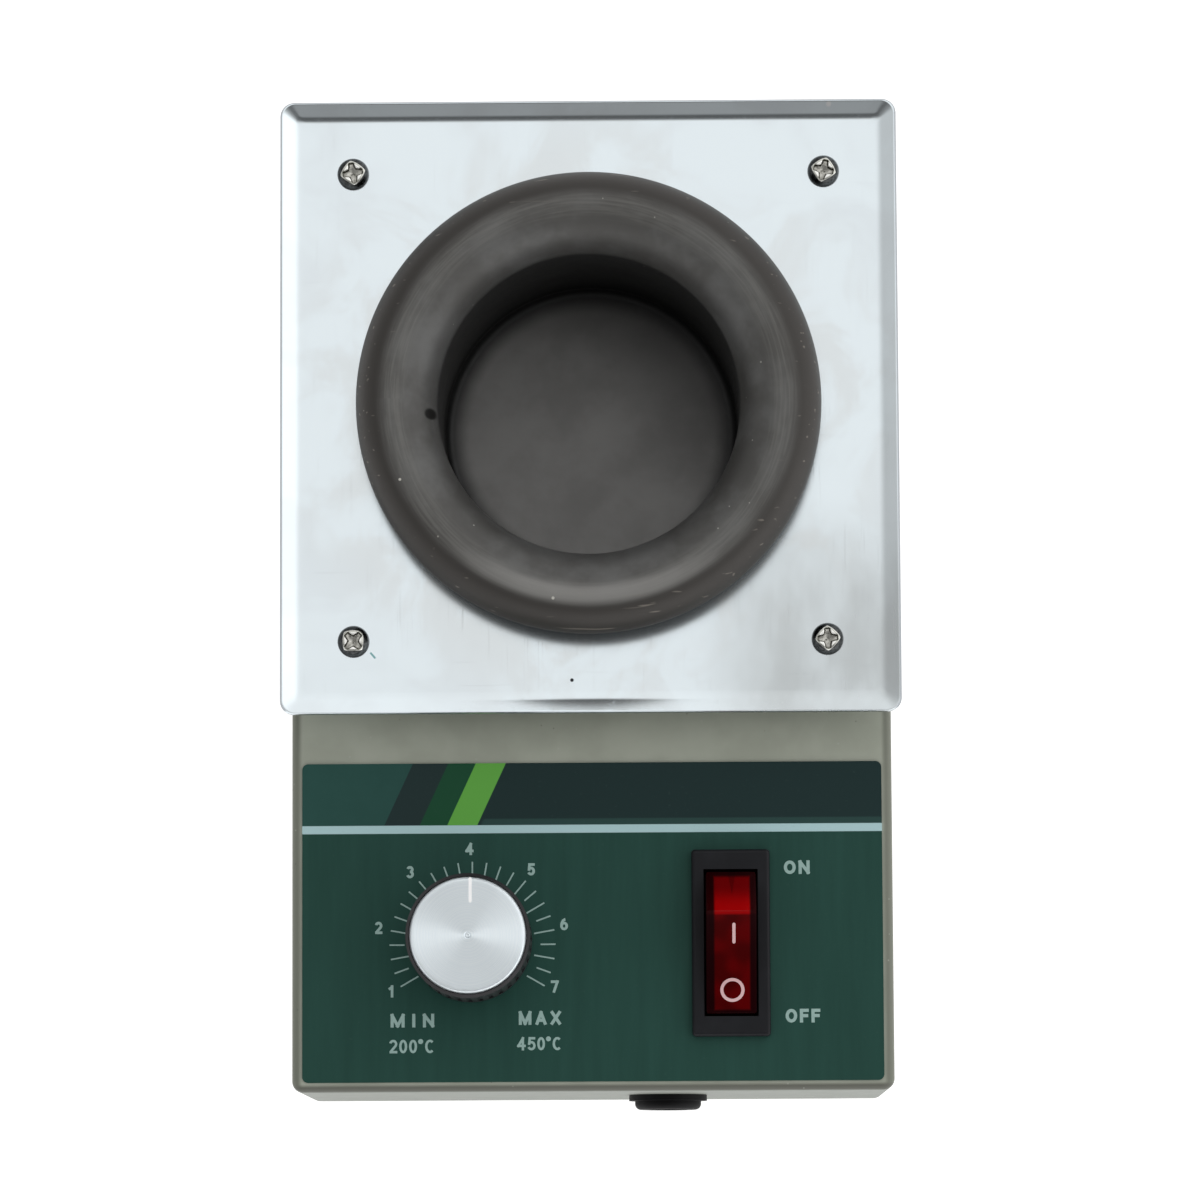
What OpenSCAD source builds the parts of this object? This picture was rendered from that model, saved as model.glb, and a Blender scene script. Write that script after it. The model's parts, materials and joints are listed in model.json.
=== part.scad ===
// Electric solder pot: a pressed crucible in a stainless drip tray, on a folded
// steel case with a temperature knob and a rocker switch.
// Millimetres. +Z is up, +Y is the back, and the origin is under the middle.

/* [Case] */
// Width of the case
case_w = 100; // [96:1:130]
// Depth of the case, front to back
case_d = 164; // [146:1:200]
// Height of the case without its feet
case_h = 51; // [49:1:70]
// Thickness of the case's sheet
sheet_t = 1; // [0.8:0.1:1.2]
// Outside radius of the folded top edges
fold_r = 1.3; // [1.25:0.05:1.6]
// Radius of the upright corners
corner_r = 1.9; // [1.7:0.1:3]
// Width of the inward lips that the base is screwed to
lip_w = 9; // [8:0.5:11]
// Number of cooling slots in each side
side_slots = 9; // [3:1:9]
// Length of a cooling slot
slot_l = 16; // [8:1:20]
// Width of a cooling slot
slot_w = 3; // [2:0.5:4]
// Distance from one cooling slot to the next
slot_pitch = 8; // [6:0.5:8.5]

/* [Feet] */
// Height of a rubber foot
foot_h = 6; // [5.5:0.5:10]
// Radius of a rubber foot
foot_r = 7; // [6:0.5:9]
// Distance of a foot's middle from the case's sides
foot_inset = 19; // [17:1:22]

/* [Drip tray] */
// Width and depth of the tray over its rim
tray_w = 103; // [101:0.5:110]
// Thickness of the tray's sheet
tray_t = 0.8; // [0.6:0.1:1]
// Height of the rim above the tray's floor
rim_h = 1; // [0.8:0.1:3]
// Slope of the rim against the floor, in degrees
rim_slope = 20; // [15:1:50]
// Inside radius of the fold between floor and rim
rim_fold_r = 4.5; // [1:0.1:6]
// Radius of the rim's outer corners
rim_corner_r = 2.2; // [1:0.1:4]
// Height of the spacers under the tray
spacer_h = 7; // [5:0.5:12]
// Distance from the case's back face to the tray's middle
tray_from_back = 50.4; // [48:0.2:52]
// Distance between the tray's screws
screw_pitch = 78.6; // [76:0.2:82]

/* [Crucible] */
// Inside radius of the well
well_r = 25; // [22:0.5:26]
// Depth of the well below the brim's crest
well_depth = 44; // [42:0.5:46]
// Thickness of the crucible's wall
pot_t = 1.6; // [1.2:0.1:2]
// Radius of the brim's crest
crest_r = 32.8; // [32:0.1:33.5]
// Radius of the brim at its widest
brim_r = 38.4; // [37:0.1:40]
// Height of the brim's widest circle above the tray's floor
brim_lift = 9.8; // [9:0.1:14]
// How far the rolled edge turns under, in degrees
curl_angle = 50; // [20:5:60]
// How far the pot stands forward of the tray's middle
pot_forward = 0.8; // [0:0.1:1]

/* [Furnace] */
// Thickness of the band heater
band_t = 3.4; // [2.5:0.1:3.6]
// Thickness of the heat-shield can's sheet
can_t = 0.8; // [0.6:0.1:1]
// Inside radius of the heat-shield can
can_r = 36.4; // [36:0.1:37]
// Thickness of the pad under the crucible
pad_h = 6; // [4:0.5:8]

/* [Control panel] */
// Thickness of the printed panel sheet
label_t = 0.25; // [0.2:0.05:0.5]
// Depth of the printed panel sheet, front to back
label_d = 53; // [50:0.5:54]
// Margin between the panel sheet and the case's sides
label_side = 1.75; // [1.5:0.25:3]
// Margin between the panel sheet and the case's front
label_front = 1.6; // [1.4:0.1:3]

/* [Knob] */
// Knob's place across the case, from the middle
knob_x = -20.2; // [-26:0.2:-16]
// Knob's distance from the case's front face
knob_from_front = 25; // [22:0.5:27]
// Radius of the knob's grip
knob_r = 10.2; // [9.5:0.1:11]
// Height of the knob's top above the case
knob_top = 17.4; // [16:0.2:20]
// Number of flutes round the grip
flutes = 36; // [12:1:48]
// Radius of a flute
flute_r = 0.45; // [0.3:0.05:0.5]
// Radius of the aluminium cap
cap_r = 9.6; // [8:0.1:9.8]
// Radius of the control's shaft
shaft_r = 3; // [2.5:0.1:3.1]

/* [Switch] */
// Switch's place across the case, from the middle
switch_x = 23; // [18:0.5:30]
// Switch's distance from the case's front face
switch_from_front = 24.4; // [22:0.2:27]
// Width of the bezel
bezel_w = 13; // [12.6:0.1:15]
// Height of the bezel above the panel
bezel_h = 1.8; // [1.5:0.1:2.5]
// Width of the opening in the bezel
opening_w = 9; // [8:0.1:9.2]
// Length of the rocker's pressed face
rocker_face = 17.8; // [16:0.1:18.5]
// Height of the rocker's face over its pivot
rocker_rise = 9.9; // [9.5:0.1:10.5]
// Tilt of the rocker to either side, in degrees
rocker_tilt = 20; // [16:1:21]

/* [Lead entry] */
// Bushing's place across the case, from the middle
bushing_x = 12.4; // [5:0.2:20]
// Height of the bushing's middle above the case's bottom edge
bushing_up = 27; // [22:1:32]
// Radius of the bushing's flange
bushing_flange_r = 6.6; // [6.4:0.1:7.5]
// How far the bushing stands out of the front wall
bushing_proud = 2.5; // [2:0.1:5]
// Radius of the passage for the lead
lead_r = 3.4; // [2.5:0.1:3.8]

/* [Hidden] */
$fn = 72;

// Clearances
eps = 0.01;                 // overlap of two shapes that fuse, overrun of a tool along its seat
cut = 1;                    // overrun of a tool that cuts right through
thread_gap = 0.05;          // a nut or a plate round a thread
running_gap = 0.05;         // a shaft in its bushing, a pivot in its hole
seat_gap = 0.25;            // a piece dropped into a cut-out or a case

// Screws
screw_r = 1.5;
screw_hole_r = 1.7;
head_r = 2.65;
head_h = 2;
head_dome_r = 3.4;
recess_arm = 0.75;
recess_span = 3.2;
recess_depth = 1.3;
screw_reach = 3;
nut_h = 2.4;
nut_r = 3.2;

// Levels
case_bottom = foot_h;
deck_z = case_bottom + case_h;
deck_under = deck_z - sheet_t;
floor_top = case_bottom + sheet_t;
tray_under = deck_z + spacer_h;
tray_top = tray_under + tray_t;
brim_z = tray_top + brim_lift;
roll_r = brim_r - crest_r;
crest_z = brim_z + roll_r;
well_floor = crest_z - well_depth;
panel_z = deck_z + label_t;

// Places
tray_overhang = tray_w / 2 - tray_from_back;
case_y = (bushing_proud - max(tray_overhang, 0)) / 2;
front_y = case_y - case_d / 2;
back_y = case_y + case_d / 2;
tray_y = back_y - tray_from_back;
pot_y = tray_y - pot_forward;
knob_y = front_y + knob_from_front;
switch_y = front_y + switch_from_front;
lip_screw_x = case_w / 2 - sheet_t - lip_w / 2;
lip_screw_from_end = 24;
vent_pitch = 0.12 * case_w;
foot_x = case_w / 2 - foot_inset;
foot_web = 2.5;
foot_edge_r = 1;
foot_front_y = front_y + foot_inset;
foot_back_y = back_y - foot_inset;

// Furnace, outwards from the crucible
pot_r = well_r + pot_t;
flare_r = crest_r - well_r;
band_r = pot_r + band_t;
sleeve_gap = 0.3;
pot_under = well_floor - pot_t;
pad_z = pot_under - pad_h;
band_z = pot_under + 3;
band_h = deck_under - 1.5 - band_z;
band_nut_r = 2.9;
window_side = 2.5;
deck_hole_r = pot_r + 3;
tray_hole_r = pot_r + 2;
flange_w = screw_pitch + 2 * screw_hole_r + 10;
ear_w = 5;
ear_t = 1.6;
ear_gap = 3;

// Knob and control
bush_r = 3.9;
bush_up = 6;
can_fold = 1.5;
can_control_r = 11.5;
can_control_h = 9;
shaft_seat = 3;
shaft_round_up = 0.5;
lug_pitch = 5;
washer_r = 6.4;
flute_from = 1.2;
flute_to = 1.8;
knob_lift = 0.8;
knob_z = panel_z + knob_lift;
knob_top_z = deck_z + knob_top;
cap_t = 1.1;
cap_seat = 0.9;
cap_bevel = 0.45;
nut_room_r = 7.4;
nut_room_h = bush_up - knob_lift + 1;
shaft_flat = 1.4;
shaft_end = knob_top_z - cap_seat - 2;
washer_t = 0.6;
control_nut_h = 2;
control_nut_r = 6.3;
pointer_w = 0.5;
pointer_l = 4.4;
pointer_depth = 0.12;

// Switch: the rocker's section turns about the pivot
rocker_w = opening_w - 0.7;
rocker_gap = 0.45;
rocker_proud = 0.26;
wall_run = 4.15;
wall_drop = 8.26;
dish_depth = 0.8;
wall_end_y = rocker_face / 2 + wall_run;
wall_end_z = rocker_rise - wall_drop;
low_corner_y = rocker_face / 2 * cos(rocker_tilt) + rocker_rise * sin(rocker_tilt);
low_corner_z = rocker_rise * cos(rocker_tilt) - rocker_face / 2 * sin(rocker_tilt);
bezel_top = panel_z + bezel_h;
pivot_z = bezel_top + rocker_proud - low_corner_z;
opening_l = 2 * (low_corner_y + rocker_gap);
cavity_l = 2 * (norm([wall_end_y, wall_end_z]) + rocker_gap);
housing_wall = 0.7;
housing_l = cavity_l + 2 * housing_wall;
housing_w = bezel_w - 1.2;
bezel_l = housing_l + 2.4;
bezel_lip = 1;
pivot_r = 1.5;
housing_depth = 20;
snap_w = 6;
snap_h = 5;
snap_out = 0.9;
terminal_pitch = 9;
housing_z = deck_z - housing_depth;
terminal_drop = 8;
cutout_w = housing_w + 2 * seat_gap;
cutout_l = housing_l + 2 * seat_gap;

// Board and what stands on it
board_w = case_w - 2 * (sheet_t + lip_w) - 18;
board_d = 0.28 * case_d;
board_t = 1.6;
board_x = -0.08 * case_w;
board_y = front_y + foot_inset + board_d / 2;
standoff_h = 0.12 * case_h;
board_z = floor_top + standoff_h;
board_top = board_z + board_t;
board_hole_x = board_w / 2 - 4;
board_hole_y = board_d / 2 - 4;
sink_size = [0.26 * board_w, 0.42 * board_d, 0.35 * case_h];
sink_x = board_x - board_w / 2 + 5;
sink_y = board_y - 2;
capacitor_size = [0.29 * board_w, 0.17 * board_d, 0.235 * case_h];
capacitor_y = board_y + 0.3 * board_d;
ways = 3;
way = 0.082 * board_w;
block_size = [ways * way, 0.195 * board_d, 0.2 * case_h];
block_x = board_x + board_hole_x - head_r - block_size.x / 2 - 1;
block_y = board_y - 0.35 * board_d;
bushing_z = case_bottom + bushing_up;
bushing_neck_r = bushing_flange_r - 0.8;
bushing_dome_r = bushing_flange_r - 1;
bushing_flange_t = 1;
bushing_back = 5;
groove_catch = 0.6;
groove_w = 1.6;
earth_r = 2;
earth_from_front = 12;
earth_head_h = 0.8;

// ---------- Shared shapes ----------

// Rectangle with round corners, about the origin
module round_rect(w, d, r) {
    square([w - 2 * r, d], center = true);
    square([w, d - 2 * r], center = true);
    for (sx = [-1, 1], sy = [-1, 1])
        translate([sx * (w / 2 - r), sy * (d / 2 - r)]) circle(r);
}

// Slot with round ends, about the origin, its length along Y
module slot_2d(l, w) {
    square([w, l - w], center = true);
    for (s = [-1, 1]) translate([0, s * (l - w) / 2]) circle(w / 2);
}

// Part of a ring between two radii, from one angle to another (under 180 degrees apart)
module ring_sector(inner, outer, from, to) {
    far = 2 * outer;
    mid = (from + to) / 2;
    difference() {
        intersection() {
            circle(outer);
            polygon([[0, 0], far * [cos(from), sin(from)], far * [cos(mid), sin(mid)],
                far * [cos(to), sin(to)]]);
        }
        if (inner > 0) circle(inner);
    }
}

// Its children at the four corners of a rectangle about a point
module at_corners(dx, dy, y = 0) {
    for (sx = [-1, 1], sy = [-1, 1]) translate([sx * dx, y + sy * dy, 0]) children();
}

// Round cutter through a thickness that starts at z = 0
module hole(r, thickness) {
    translate([0, 0, -cut]) cylinder(r = r, h = thickness + 2 * cut);
}

// Cross recess, cut downwards from the origin
module cross_recess() {
    for (turn = [0, 90])
        rotate(turn)
            translate([-recess_span / 2, -recess_arm / 2, -recess_depth])
                cube([recess_span, recess_arm, recess_depth + head_h]);
}

// Pan-head screw: the head stands on z = 0, the shank hangs below
module pan_screw(shank) {
    difference() {
        union() {
            intersection() {
                cylinder(r = head_r, h = head_h);
                translate([0, 0, head_h - head_dome_r]) sphere(head_dome_r);
            }
            translate([0, 0, -shank]) cylinder(r = screw_r, h = shank + head_h / 2);
        }
        translate([0, 0, head_h]) cross_recess();
    }
}

// Hexagon nut standing on z = 0
module hex_nut(r, h, thread) {
    difference() {
        cylinder(r = r, h = h, $fn = 6);
        hole(thread, h);
    }
}

// Block with a soft top edge, standing on z = 0
module soft_block(w, d, h, r) {
    linear_extrude(h - r) round_rect(w, d, r);
    linear_extrude(h) square([w - 2 * r, d - 2 * r], center = true);
    for (s = [-1, 1]) {
        translate([0, s * (d / 2 - r), h - r]) rotate([0, 90, 0])
            cylinder(r = r, h = w - 2 * r, center = true);
        translate([s * (w / 2 - r), 0, h - r]) rotate([90, 0, 0])
            cylinder(r = r, h = d - 2 * r, center = true);
    }
    at_corners(w / 2 - r, d / 2 - r) translate([0, 0, h - r]) sphere(r);
}

// ---------- Case ----------

// Section of a wall and its top fold: x runs outwards from the corner's axis
module wall_section() {
    translate([corner_r - sheet_t, 0]) square([sheet_t, case_h - fold_r]);
    translate([corner_r - fold_r, case_h - fold_r]) ring_sector(fold_r - sheet_t, fold_r, 0, 90);
    translate([0, case_h - sheet_t]) square([corner_r - fold_r, sheet_t]);
}

// Straight wall along Y, its section facing +X
module straight_wall(l) {
    translate([0, l / 2, 0]) rotate([90, 0, 0]) linear_extrude(l) wall_section();
}

module lip(l) {
    translate([corner_r - sheet_t - lip_w, -l / 2, sheet_t]) cube([lip_w + eps, l, sheet_t]);
}

module case_solid() {
    side = case_w / 2 - corner_r;
    end = case_d / 2 - corner_r;
    for (turn = [0, 180]) rotate(turn) {
        translate([side, 0, 0]) {
            straight_wall(2 * end);
            lip(2 * end - 2 * lip_w);
        }
        translate([0, end, 0]) rotate(90) straight_wall(2 * side);
        translate([side, end, 0]) rotate_extrude(angle = 90) wall_section();
        translate([-side, end, 0]) rotate(90) rotate_extrude(angle = 90) wall_section();
    }
    translate([-side, -end, case_h - sheet_t]) cube([2 * side, 2 * end, sheet_t]);
}

module side_slot_cutters() {
    first = -(side_slots - 1) / 2 * slot_pitch;
    for (i = [0:side_slots - 1])
        translate([0, tray_y + first + i * slot_pitch, case_bottom + case_h / 2])
            rotate([90, 0, 90]) linear_extrude(case_w + 2 * cut, center = true) slot_2d(slot_l, slot_w);
}

module case_shell() {
    color("#7d8274") difference() {
        translate([0, case_y, case_bottom]) case_solid();
        translate([0, pot_y, deck_under]) hole(deck_hole_r, sheet_t);
        at_corners(screw_pitch / 2, screw_pitch / 2, tray_y)
            translate([0, 0, deck_under]) hole(screw_hole_r, sheet_t);
        translate([knob_x, knob_y, deck_under]) hole(bush_r + thread_gap, sheet_t);
        translate([switch_x - cutout_w / 2, switch_y - cutout_l / 2, deck_under - cut])
            cube([cutout_w, cutout_l, sheet_t + 2 * cut]);
        translate([bushing_x, front_y, bushing_z]) rotate([-90, 0, 0])
            hole(bushing_neck_r + thread_gap, sheet_t);
        side_slot_cutters();
        at_corners(lip_screw_x, case_d / 2 - lip_screw_from_end, case_y)
            translate([0, 0, floor_top]) hole(screw_r + thread_gap, sheet_t);
    }
}

module base_plate() {
    w = case_w - 2 * sheet_t - 2 * seat_gap;
    d = case_d - 2 * sheet_t - 2 * seat_gap;
    color("#7d8274") translate([0, 0, case_bottom]) difference() {
        translate([0, case_y, 0]) linear_extrude(sheet_t) round_rect(w, d, corner_r - sheet_t);
        at_corners(lip_screw_x, case_d / 2 - lip_screw_from_end, case_y)
            hole(screw_hole_r, sheet_t);
        for (x = [-foot_x, foot_x], y = [foot_front_y, foot_back_y])
            translate([x, y, 0]) hole(screw_r + thread_gap, sheet_t);
        for (row = [-2:2]) translate([row * vent_pitch, tray_y, -cut])
            linear_extrude(sheet_t + 2 * cut) slot_2d(3 * slot_l, slot_w);
    }
}

module base_screws() {
    color("#b8babd") at_corners(lip_screw_x, case_d / 2 - lip_screw_from_end, case_y)
        translate([0, 0, case_bottom]) mirror([0, 0, 1]) pan_screw(2 * sheet_t + screw_reach);
}

// ---------- Feet ----------

module rubber_foot(x, y) {
    seat = foot_h - foot_web;
    color("#202022") translate([x, y, 0]) difference() {
        rotate_extrude() {
            square([foot_r - foot_edge_r, foot_edge_r]);
            translate([foot_r - foot_edge_r, foot_edge_r]) ring_sector(0, foot_edge_r, -90, 0);
            translate([0, foot_edge_r]) square([foot_r, foot_h - foot_edge_r]);
        }
        translate([0, 0, -eps]) cylinder(r = head_r + 0.6, h = seat + eps);
        hole(screw_r + thread_gap, foot_h);
    }
}

module foot_screws() {
    color("#b8babd") for (x = [-foot_x, foot_x], y = [foot_front_y, foot_back_y])
        translate([x, y, foot_h - foot_web]) mirror([0, 0, 1])
            pan_screw(foot_web + sheet_t + screw_reach);
}

// ---------- Drip tray ----------

// Section of the rim: x runs outwards, 0 at the end of the flat floor
module rim_section() {
    rise = rim_h - rim_fold_r * (1 - cos(rim_slope));
    slope_l = rise / sin(rim_slope);
    translate([-1, 0]) square([1, tray_t]);
    translate([0, tray_t + rim_fold_r]) {
        ring_sector(rim_fold_r, rim_fold_r + tray_t, -90, rim_slope - 90);
        rotate(rim_slope) translate([-eps, -rim_fold_r - tray_t]) square([slope_l + eps, tray_t]);
    }
}

function rim_run() = (rim_fold_r + tray_t) * sin(rim_slope)
    + (rim_h - rim_fold_r * (1 - cos(rim_slope))) / tan(rim_slope);

// One side of the rim with its floor strip, mitred at 45 degrees
module tray_side() {
    flat = tray_w / 2 - rim_run();
    intersection() {
        translate([flat, tray_w / 2, 0]) rotate([90, 0, 0]) linear_extrude(tray_w) rim_section();
        translate([0, 0, -1]) linear_extrude(rim_h + tray_t + 2)
            polygon([[0, 0], [tray_w, tray_w], [tray_w, -tray_w]]);
    }
}

module drip_tray() {
    flat = tray_w / 2 - rim_run();
    color("#d5dadd") translate([0, tray_y, tray_under]) difference() {
        intersection() {
            union() {
                for (turn = [0, 90, 180, 270]) rotate(turn) tray_side();
                translate([-flat, -flat, 0]) cube([2 * flat, 2 * flat, tray_t]);
            }
            translate([0, 0, -1]) linear_extrude(rim_h + tray_t + 2)
                round_rect(tray_w, tray_w, rim_corner_r);
        }
        translate([0, -pot_forward, 0]) hole(tray_hole_r, tray_t);
        at_corners(screw_pitch / 2, screw_pitch / 2) hole(screw_hole_r, tray_t);
    }
}

module tray_spacers() {
    color("#c9ccce") at_corners(screw_pitch / 2, screw_pitch / 2, tray_y)
        translate([0, 0, deck_z]) difference() {
            cylinder(r = 3.5, h = spacer_h);
            hole(screw_hole_r, spacer_h);
        }
}

module tray_screws() {
    color("#c9ccce") at_corners(screw_pitch / 2, screw_pitch / 2, tray_y)
        translate([0, 0, tray_top]) rotate(20) pan_screw(tray_top - deck_under + can_t + nut_h + 1);
}

module tray_nuts() {
    color("#c9ccce") at_corners(screw_pitch / 2, screw_pitch / 2, tray_y)
        translate([0, 0, deck_under - can_t - nut_h]) hex_nut(nut_r, nut_h, screw_r + thread_gap);
}

// ---------- Crucible ----------

// Section of the crucible's wall: x is the radius, y the height
module crucible_section() {
    floor_r = 1.5;
    throat_z = crest_z - flare_r;
    lip_mid = roll_r - pot_t / 2;
    translate([crest_r, brim_z]) {
        ring_sector(roll_r - pot_t, roll_r, -curl_angle, 90);
        translate(lip_mid * [cos(curl_angle), -sin(curl_angle)]) circle(pot_t / 2);
    }
    translate([crest_r, throat_z]) ring_sector(flare_r - pot_t, flare_r, 90, 180);
    translate([well_r, well_floor + floor_r]) square([pot_t, throat_z - well_floor - floor_r]);
    translate([well_r - floor_r, well_floor + floor_r])
        ring_sector(floor_r, floor_r + pot_t, -90, 0);
    translate([0, pot_under]) square([well_r - floor_r, pot_t]);
}

module crucible() {
    color("#4a4a48") translate([0, pot_y, 0]) rotate_extrude() crucible_section();
}

// ---------- Furnace ----------

module heater_band() {
    color("#a9a59c") translate([0, pot_y, band_z]) difference() {
        union() {
            cylinder(r = band_r, h = band_h);
            for (s = [-1, 1])
                translate([s * (ear_gap / 2 + ear_t / 2) - ear_t / 2, band_r - 1, 0])
                    cube([ear_t, ear_w + 1, band_h]);
        }
        hole(pot_r + thread_gap, band_h);
        translate([-ear_gap / 2, 0, -cut]) cube([ear_gap, band_r + ear_w + cut, band_h + 2 * cut]);
        translate([0, band_r + ear_w / 2, band_h / 2]) rotate([0, 90, 0])
            cylinder(r = screw_hole_r, h = 2 * ear_w, center = true);
    }
}

module band_screw() {
    reach = ear_gap + 2 * ear_t + nut_h + 1;
    color("#c9ccce") translate([ear_gap / 2 + ear_t, pot_y + band_r + ear_w / 2, band_z + band_h / 2])
        rotate([0, 90, 0]) pan_screw(reach);
}

module band_nut() {
    color("#c9ccce")
        translate([-ear_gap / 2 - ear_t, pot_y + band_r + ear_w / 2, band_z + band_h / 2])
            rotate([0, -90, 0]) hex_nut(band_nut_r, nut_h, screw_r + thread_gap);
}

module heater_sleeve() {
    window = 2 * (ear_gap / 2 + ear_t + nut_h + window_side);
    sleeve_h = deck_under - can_t - pad_z - pad_h;
    color("#e6e0d2") translate([0, pot_y, pad_z + pad_h]) difference() {
        cylinder(r = can_r - seat_gap, h = sleeve_h);
        hole(band_r + sleeve_gap, sleeve_h);
        translate([-window / 2, 0, -cut]) cube([window, can_r + cut, sleeve_h + 2 * cut]);
    }
}

module insulation_pad() {
    color("#e6e0d2") translate([0, pot_y, pad_z]) cylinder(r = can_r - can_fold, h = pad_h);
}

module heat_shield() {
    can_depth = deck_under - pad_z + can_t;
    color("#b4b6b8") translate([0, 0, deck_under - can_depth]) difference() {
        union() {
            translate([0, pot_y, 0]) rotate_extrude() {
                square([can_r - can_fold, can_t]);
                translate([can_r - can_fold, can_t + can_fold])
                    ring_sector(can_fold, can_fold + can_t, -90, 0);
                translate([can_r, can_t + can_fold]) square([can_t, can_depth - can_t - can_fold]);
            }
            translate([0, tray_y, can_depth - can_t]) linear_extrude(can_t) round_rect(flange_w, flange_w, 4);
        }
        translate([0, pot_y, can_depth - can_t - eps]) cylinder(r = can_r, h = can_t + 2 * eps);
        translate([0, pot_y, can_t + can_fold]) cylinder(r = can_r, h = can_depth);
        at_corners(screw_pitch / 2, screw_pitch / 2, tray_y)
            translate([0, 0, can_depth - can_t]) hole(screw_hole_r, can_t);
    }
}

// ---------- Control panel ----------

module control_label() {
    w = case_w - 2 * label_side;
    color("#28463f") translate([0, 0, deck_z]) difference() {
        translate([0, front_y + label_front + label_d / 2, 0])
            linear_extrude(label_t) round_rect(w, label_d, 1);
        translate([knob_x, knob_y, 0]) hole(bush_r + thread_gap, label_t);
        translate([switch_x - cutout_w / 2, switch_y - cutout_l / 2, -cut])
            cube([cutout_w, cutout_l, label_t + 2 * cut]);
    }
}

// Round bar with a flat over its upper part
module flatted_bar(r, flat_depth, from, to) {
    difference() {
        translate([0, 0, from]) cylinder(r = r, h = to - from);
        translate([r - flat_depth, -r - 1, from - 1]) cube([2 * r, 2 * r + 2, to - from + 2]);
    }
}

module knob_body() {
    bevel = knob_r - cap_r - 0.15;
    grip_h = knob_top_z - knob_z;
    socket_gap = 0.02;
    color("#1b1b1d") translate([knob_x, knob_y, knob_z]) difference() {
        rotate_extrude() polygon([[0, 0], [knob_r, 0], [knob_r, grip_h - bevel],
            [knob_r - bevel, grip_h], [0, grip_h]]);
        for (i = [0:flutes - 1]) rotate(i * 360 / flutes)
            translate([knob_r + flute_r / 3, 0, flute_from])
                cylinder(r = flute_r, h = grip_h - flute_from - flute_to, $fn = 24);
        translate([0, 0, -eps]) cylinder(r = nut_room_r, h = nut_room_h);
        translate([0, 0, grip_h - cap_seat]) cylinder(r = cap_r + 0.05, h = cap_seat + eps);
        flatted_bar(shaft_r + socket_gap, shaft_flat, -eps, shaft_end - knob_z + 0.3);
    }
}

module knob_cap() {
    top = cap_t;
    color("#e3e6e8") translate([knob_x, knob_y, knob_top_z - cap_seat]) difference() {
        rotate_extrude() polygon([[0, 0], [cap_r, 0], [cap_r, top - cap_bevel],
            [cap_r - cap_bevel, top], [0.5, top], [0, top - 0.3]]);
        translate([-pointer_w / 2, cap_r - pointer_l, top - pointer_depth])
            cube([pointer_w, pointer_l + 1, 1]);
    }
}

module control_shaft() {
    shaft_z = deck_under - shaft_seat;
    flat_z = panel_z + bush_up + shaft_round_up;
    color("#c9ccce") translate([knob_x, knob_y, 0]) {
        translate([0, 0, shaft_z]) cylinder(r = shaft_r, h = flat_z - shaft_z);
        flatted_bar(shaft_r, shaft_flat, flat_z - eps, shaft_end);
    }
}

module potentiometer() {
    lug = [1.2, 6, 0.5];
    color("#9a9c9f") translate([knob_x, knob_y, 0]) {
        difference() {
            union() {
                translate([0, 0, deck_under - can_control_h]) cylinder(r = can_control_r, h = can_control_h);
                cylinder_between(bush_r, deck_under - sheet_t, panel_z + bush_up);
            }
            cylinder_between(shaft_r + running_gap, deck_under - shaft_seat - seat_gap,
                panel_z + bush_up + cut);
        }
        for (i = [-1:1])
            translate([i * lug_pitch - lug.x / 2, -can_control_r - lug.y + 1, deck_under - lug_pitch])
                cube(lug);
    }
}

module cylinder_between(r, from, to) {
    translate([0, 0, from]) cylinder(r = r, h = to - from);
}

module bushing_washer() {
    color("#c9ccce") translate([knob_x, knob_y, panel_z]) difference() {
        cylinder(r = washer_r, h = washer_t);
        hole(bush_r + thread_gap, washer_t);
    }
}

module bushing_nut() {
    color("#c9ccce") translate([knob_x, knob_y, panel_z + washer_t])
        hex_nut(control_nut_r, control_nut_h, bush_r + thread_gap);
}

// ---------- Switch ----------

module switch_housing() {
    inner_w = housing_w - 2 * housing_wall;
    floor_t = 1.5;
    color("#1c1c1f") translate([switch_x, switch_y, 0]) difference() {
        union() {
            translate([0, 0, panel_z]) soft_block(bezel_w, bezel_l, bezel_h, 0.6);
            translate([0, 0, housing_z]) linear_extrude(panel_z - housing_z + eps)
                round_rect(housing_w, housing_l, 0.6);
            for (s = [-1, 1]) translate([0, s * housing_l / 2, deck_under]) snap_ear(s);
        }
        translate([-inner_w / 2, -cavity_l / 2, housing_z + floor_t])
            cube([inner_w, cavity_l, bezel_top - bezel_lip - housing_z - floor_t]);
        translate([-opening_w / 2, -opening_l / 2, housing_z + floor_t])
            cube([opening_w, opening_l, housing_depth + 5]);
        translate([0, 0, pivot_z]) rotate([0, 90, 0])
            cylinder(r = pivot_r + running_gap, h = housing_w + 1, center = true);
    }
}

// Wedge that holds the housing under the case's deck
module snap_ear(side) {
    root = -side * housing_wall / 2;
    rotate([90, 0, 90]) linear_extrude(snap_w, center = true)
        polygon([[root, -thread_gap], [side * snap_out, -thread_gap], [root, -snap_h]]);
}

module rocker_section() {
    half = rocker_face / 2;
    dish_r = (half * half + dish_depth * dish_depth) / (2 * dish_depth);
    difference() {
        polygon([[-5, -2.4], [5, -2.4], [wall_end_y, wall_end_z], [half, rocker_rise],
            [-half, rocker_rise], [-wall_end_y, wall_end_z]]);
        translate([0, rocker_rise + dish_r - dish_depth]) circle(dish_r, $fn = 180);
    }
}

module rocker() {
    color("#8c0a10") translate([switch_x, switch_y, pivot_z]) rotate([rocker_tilt, 0, 0]) {
        rotate([90, 0, 90]) linear_extrude(rocker_w, center = true) rocker_section();
        rotate([0, 90, 0]) cylinder(r = pivot_r, h = housing_w - 0.2, center = true);
    }
}

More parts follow.
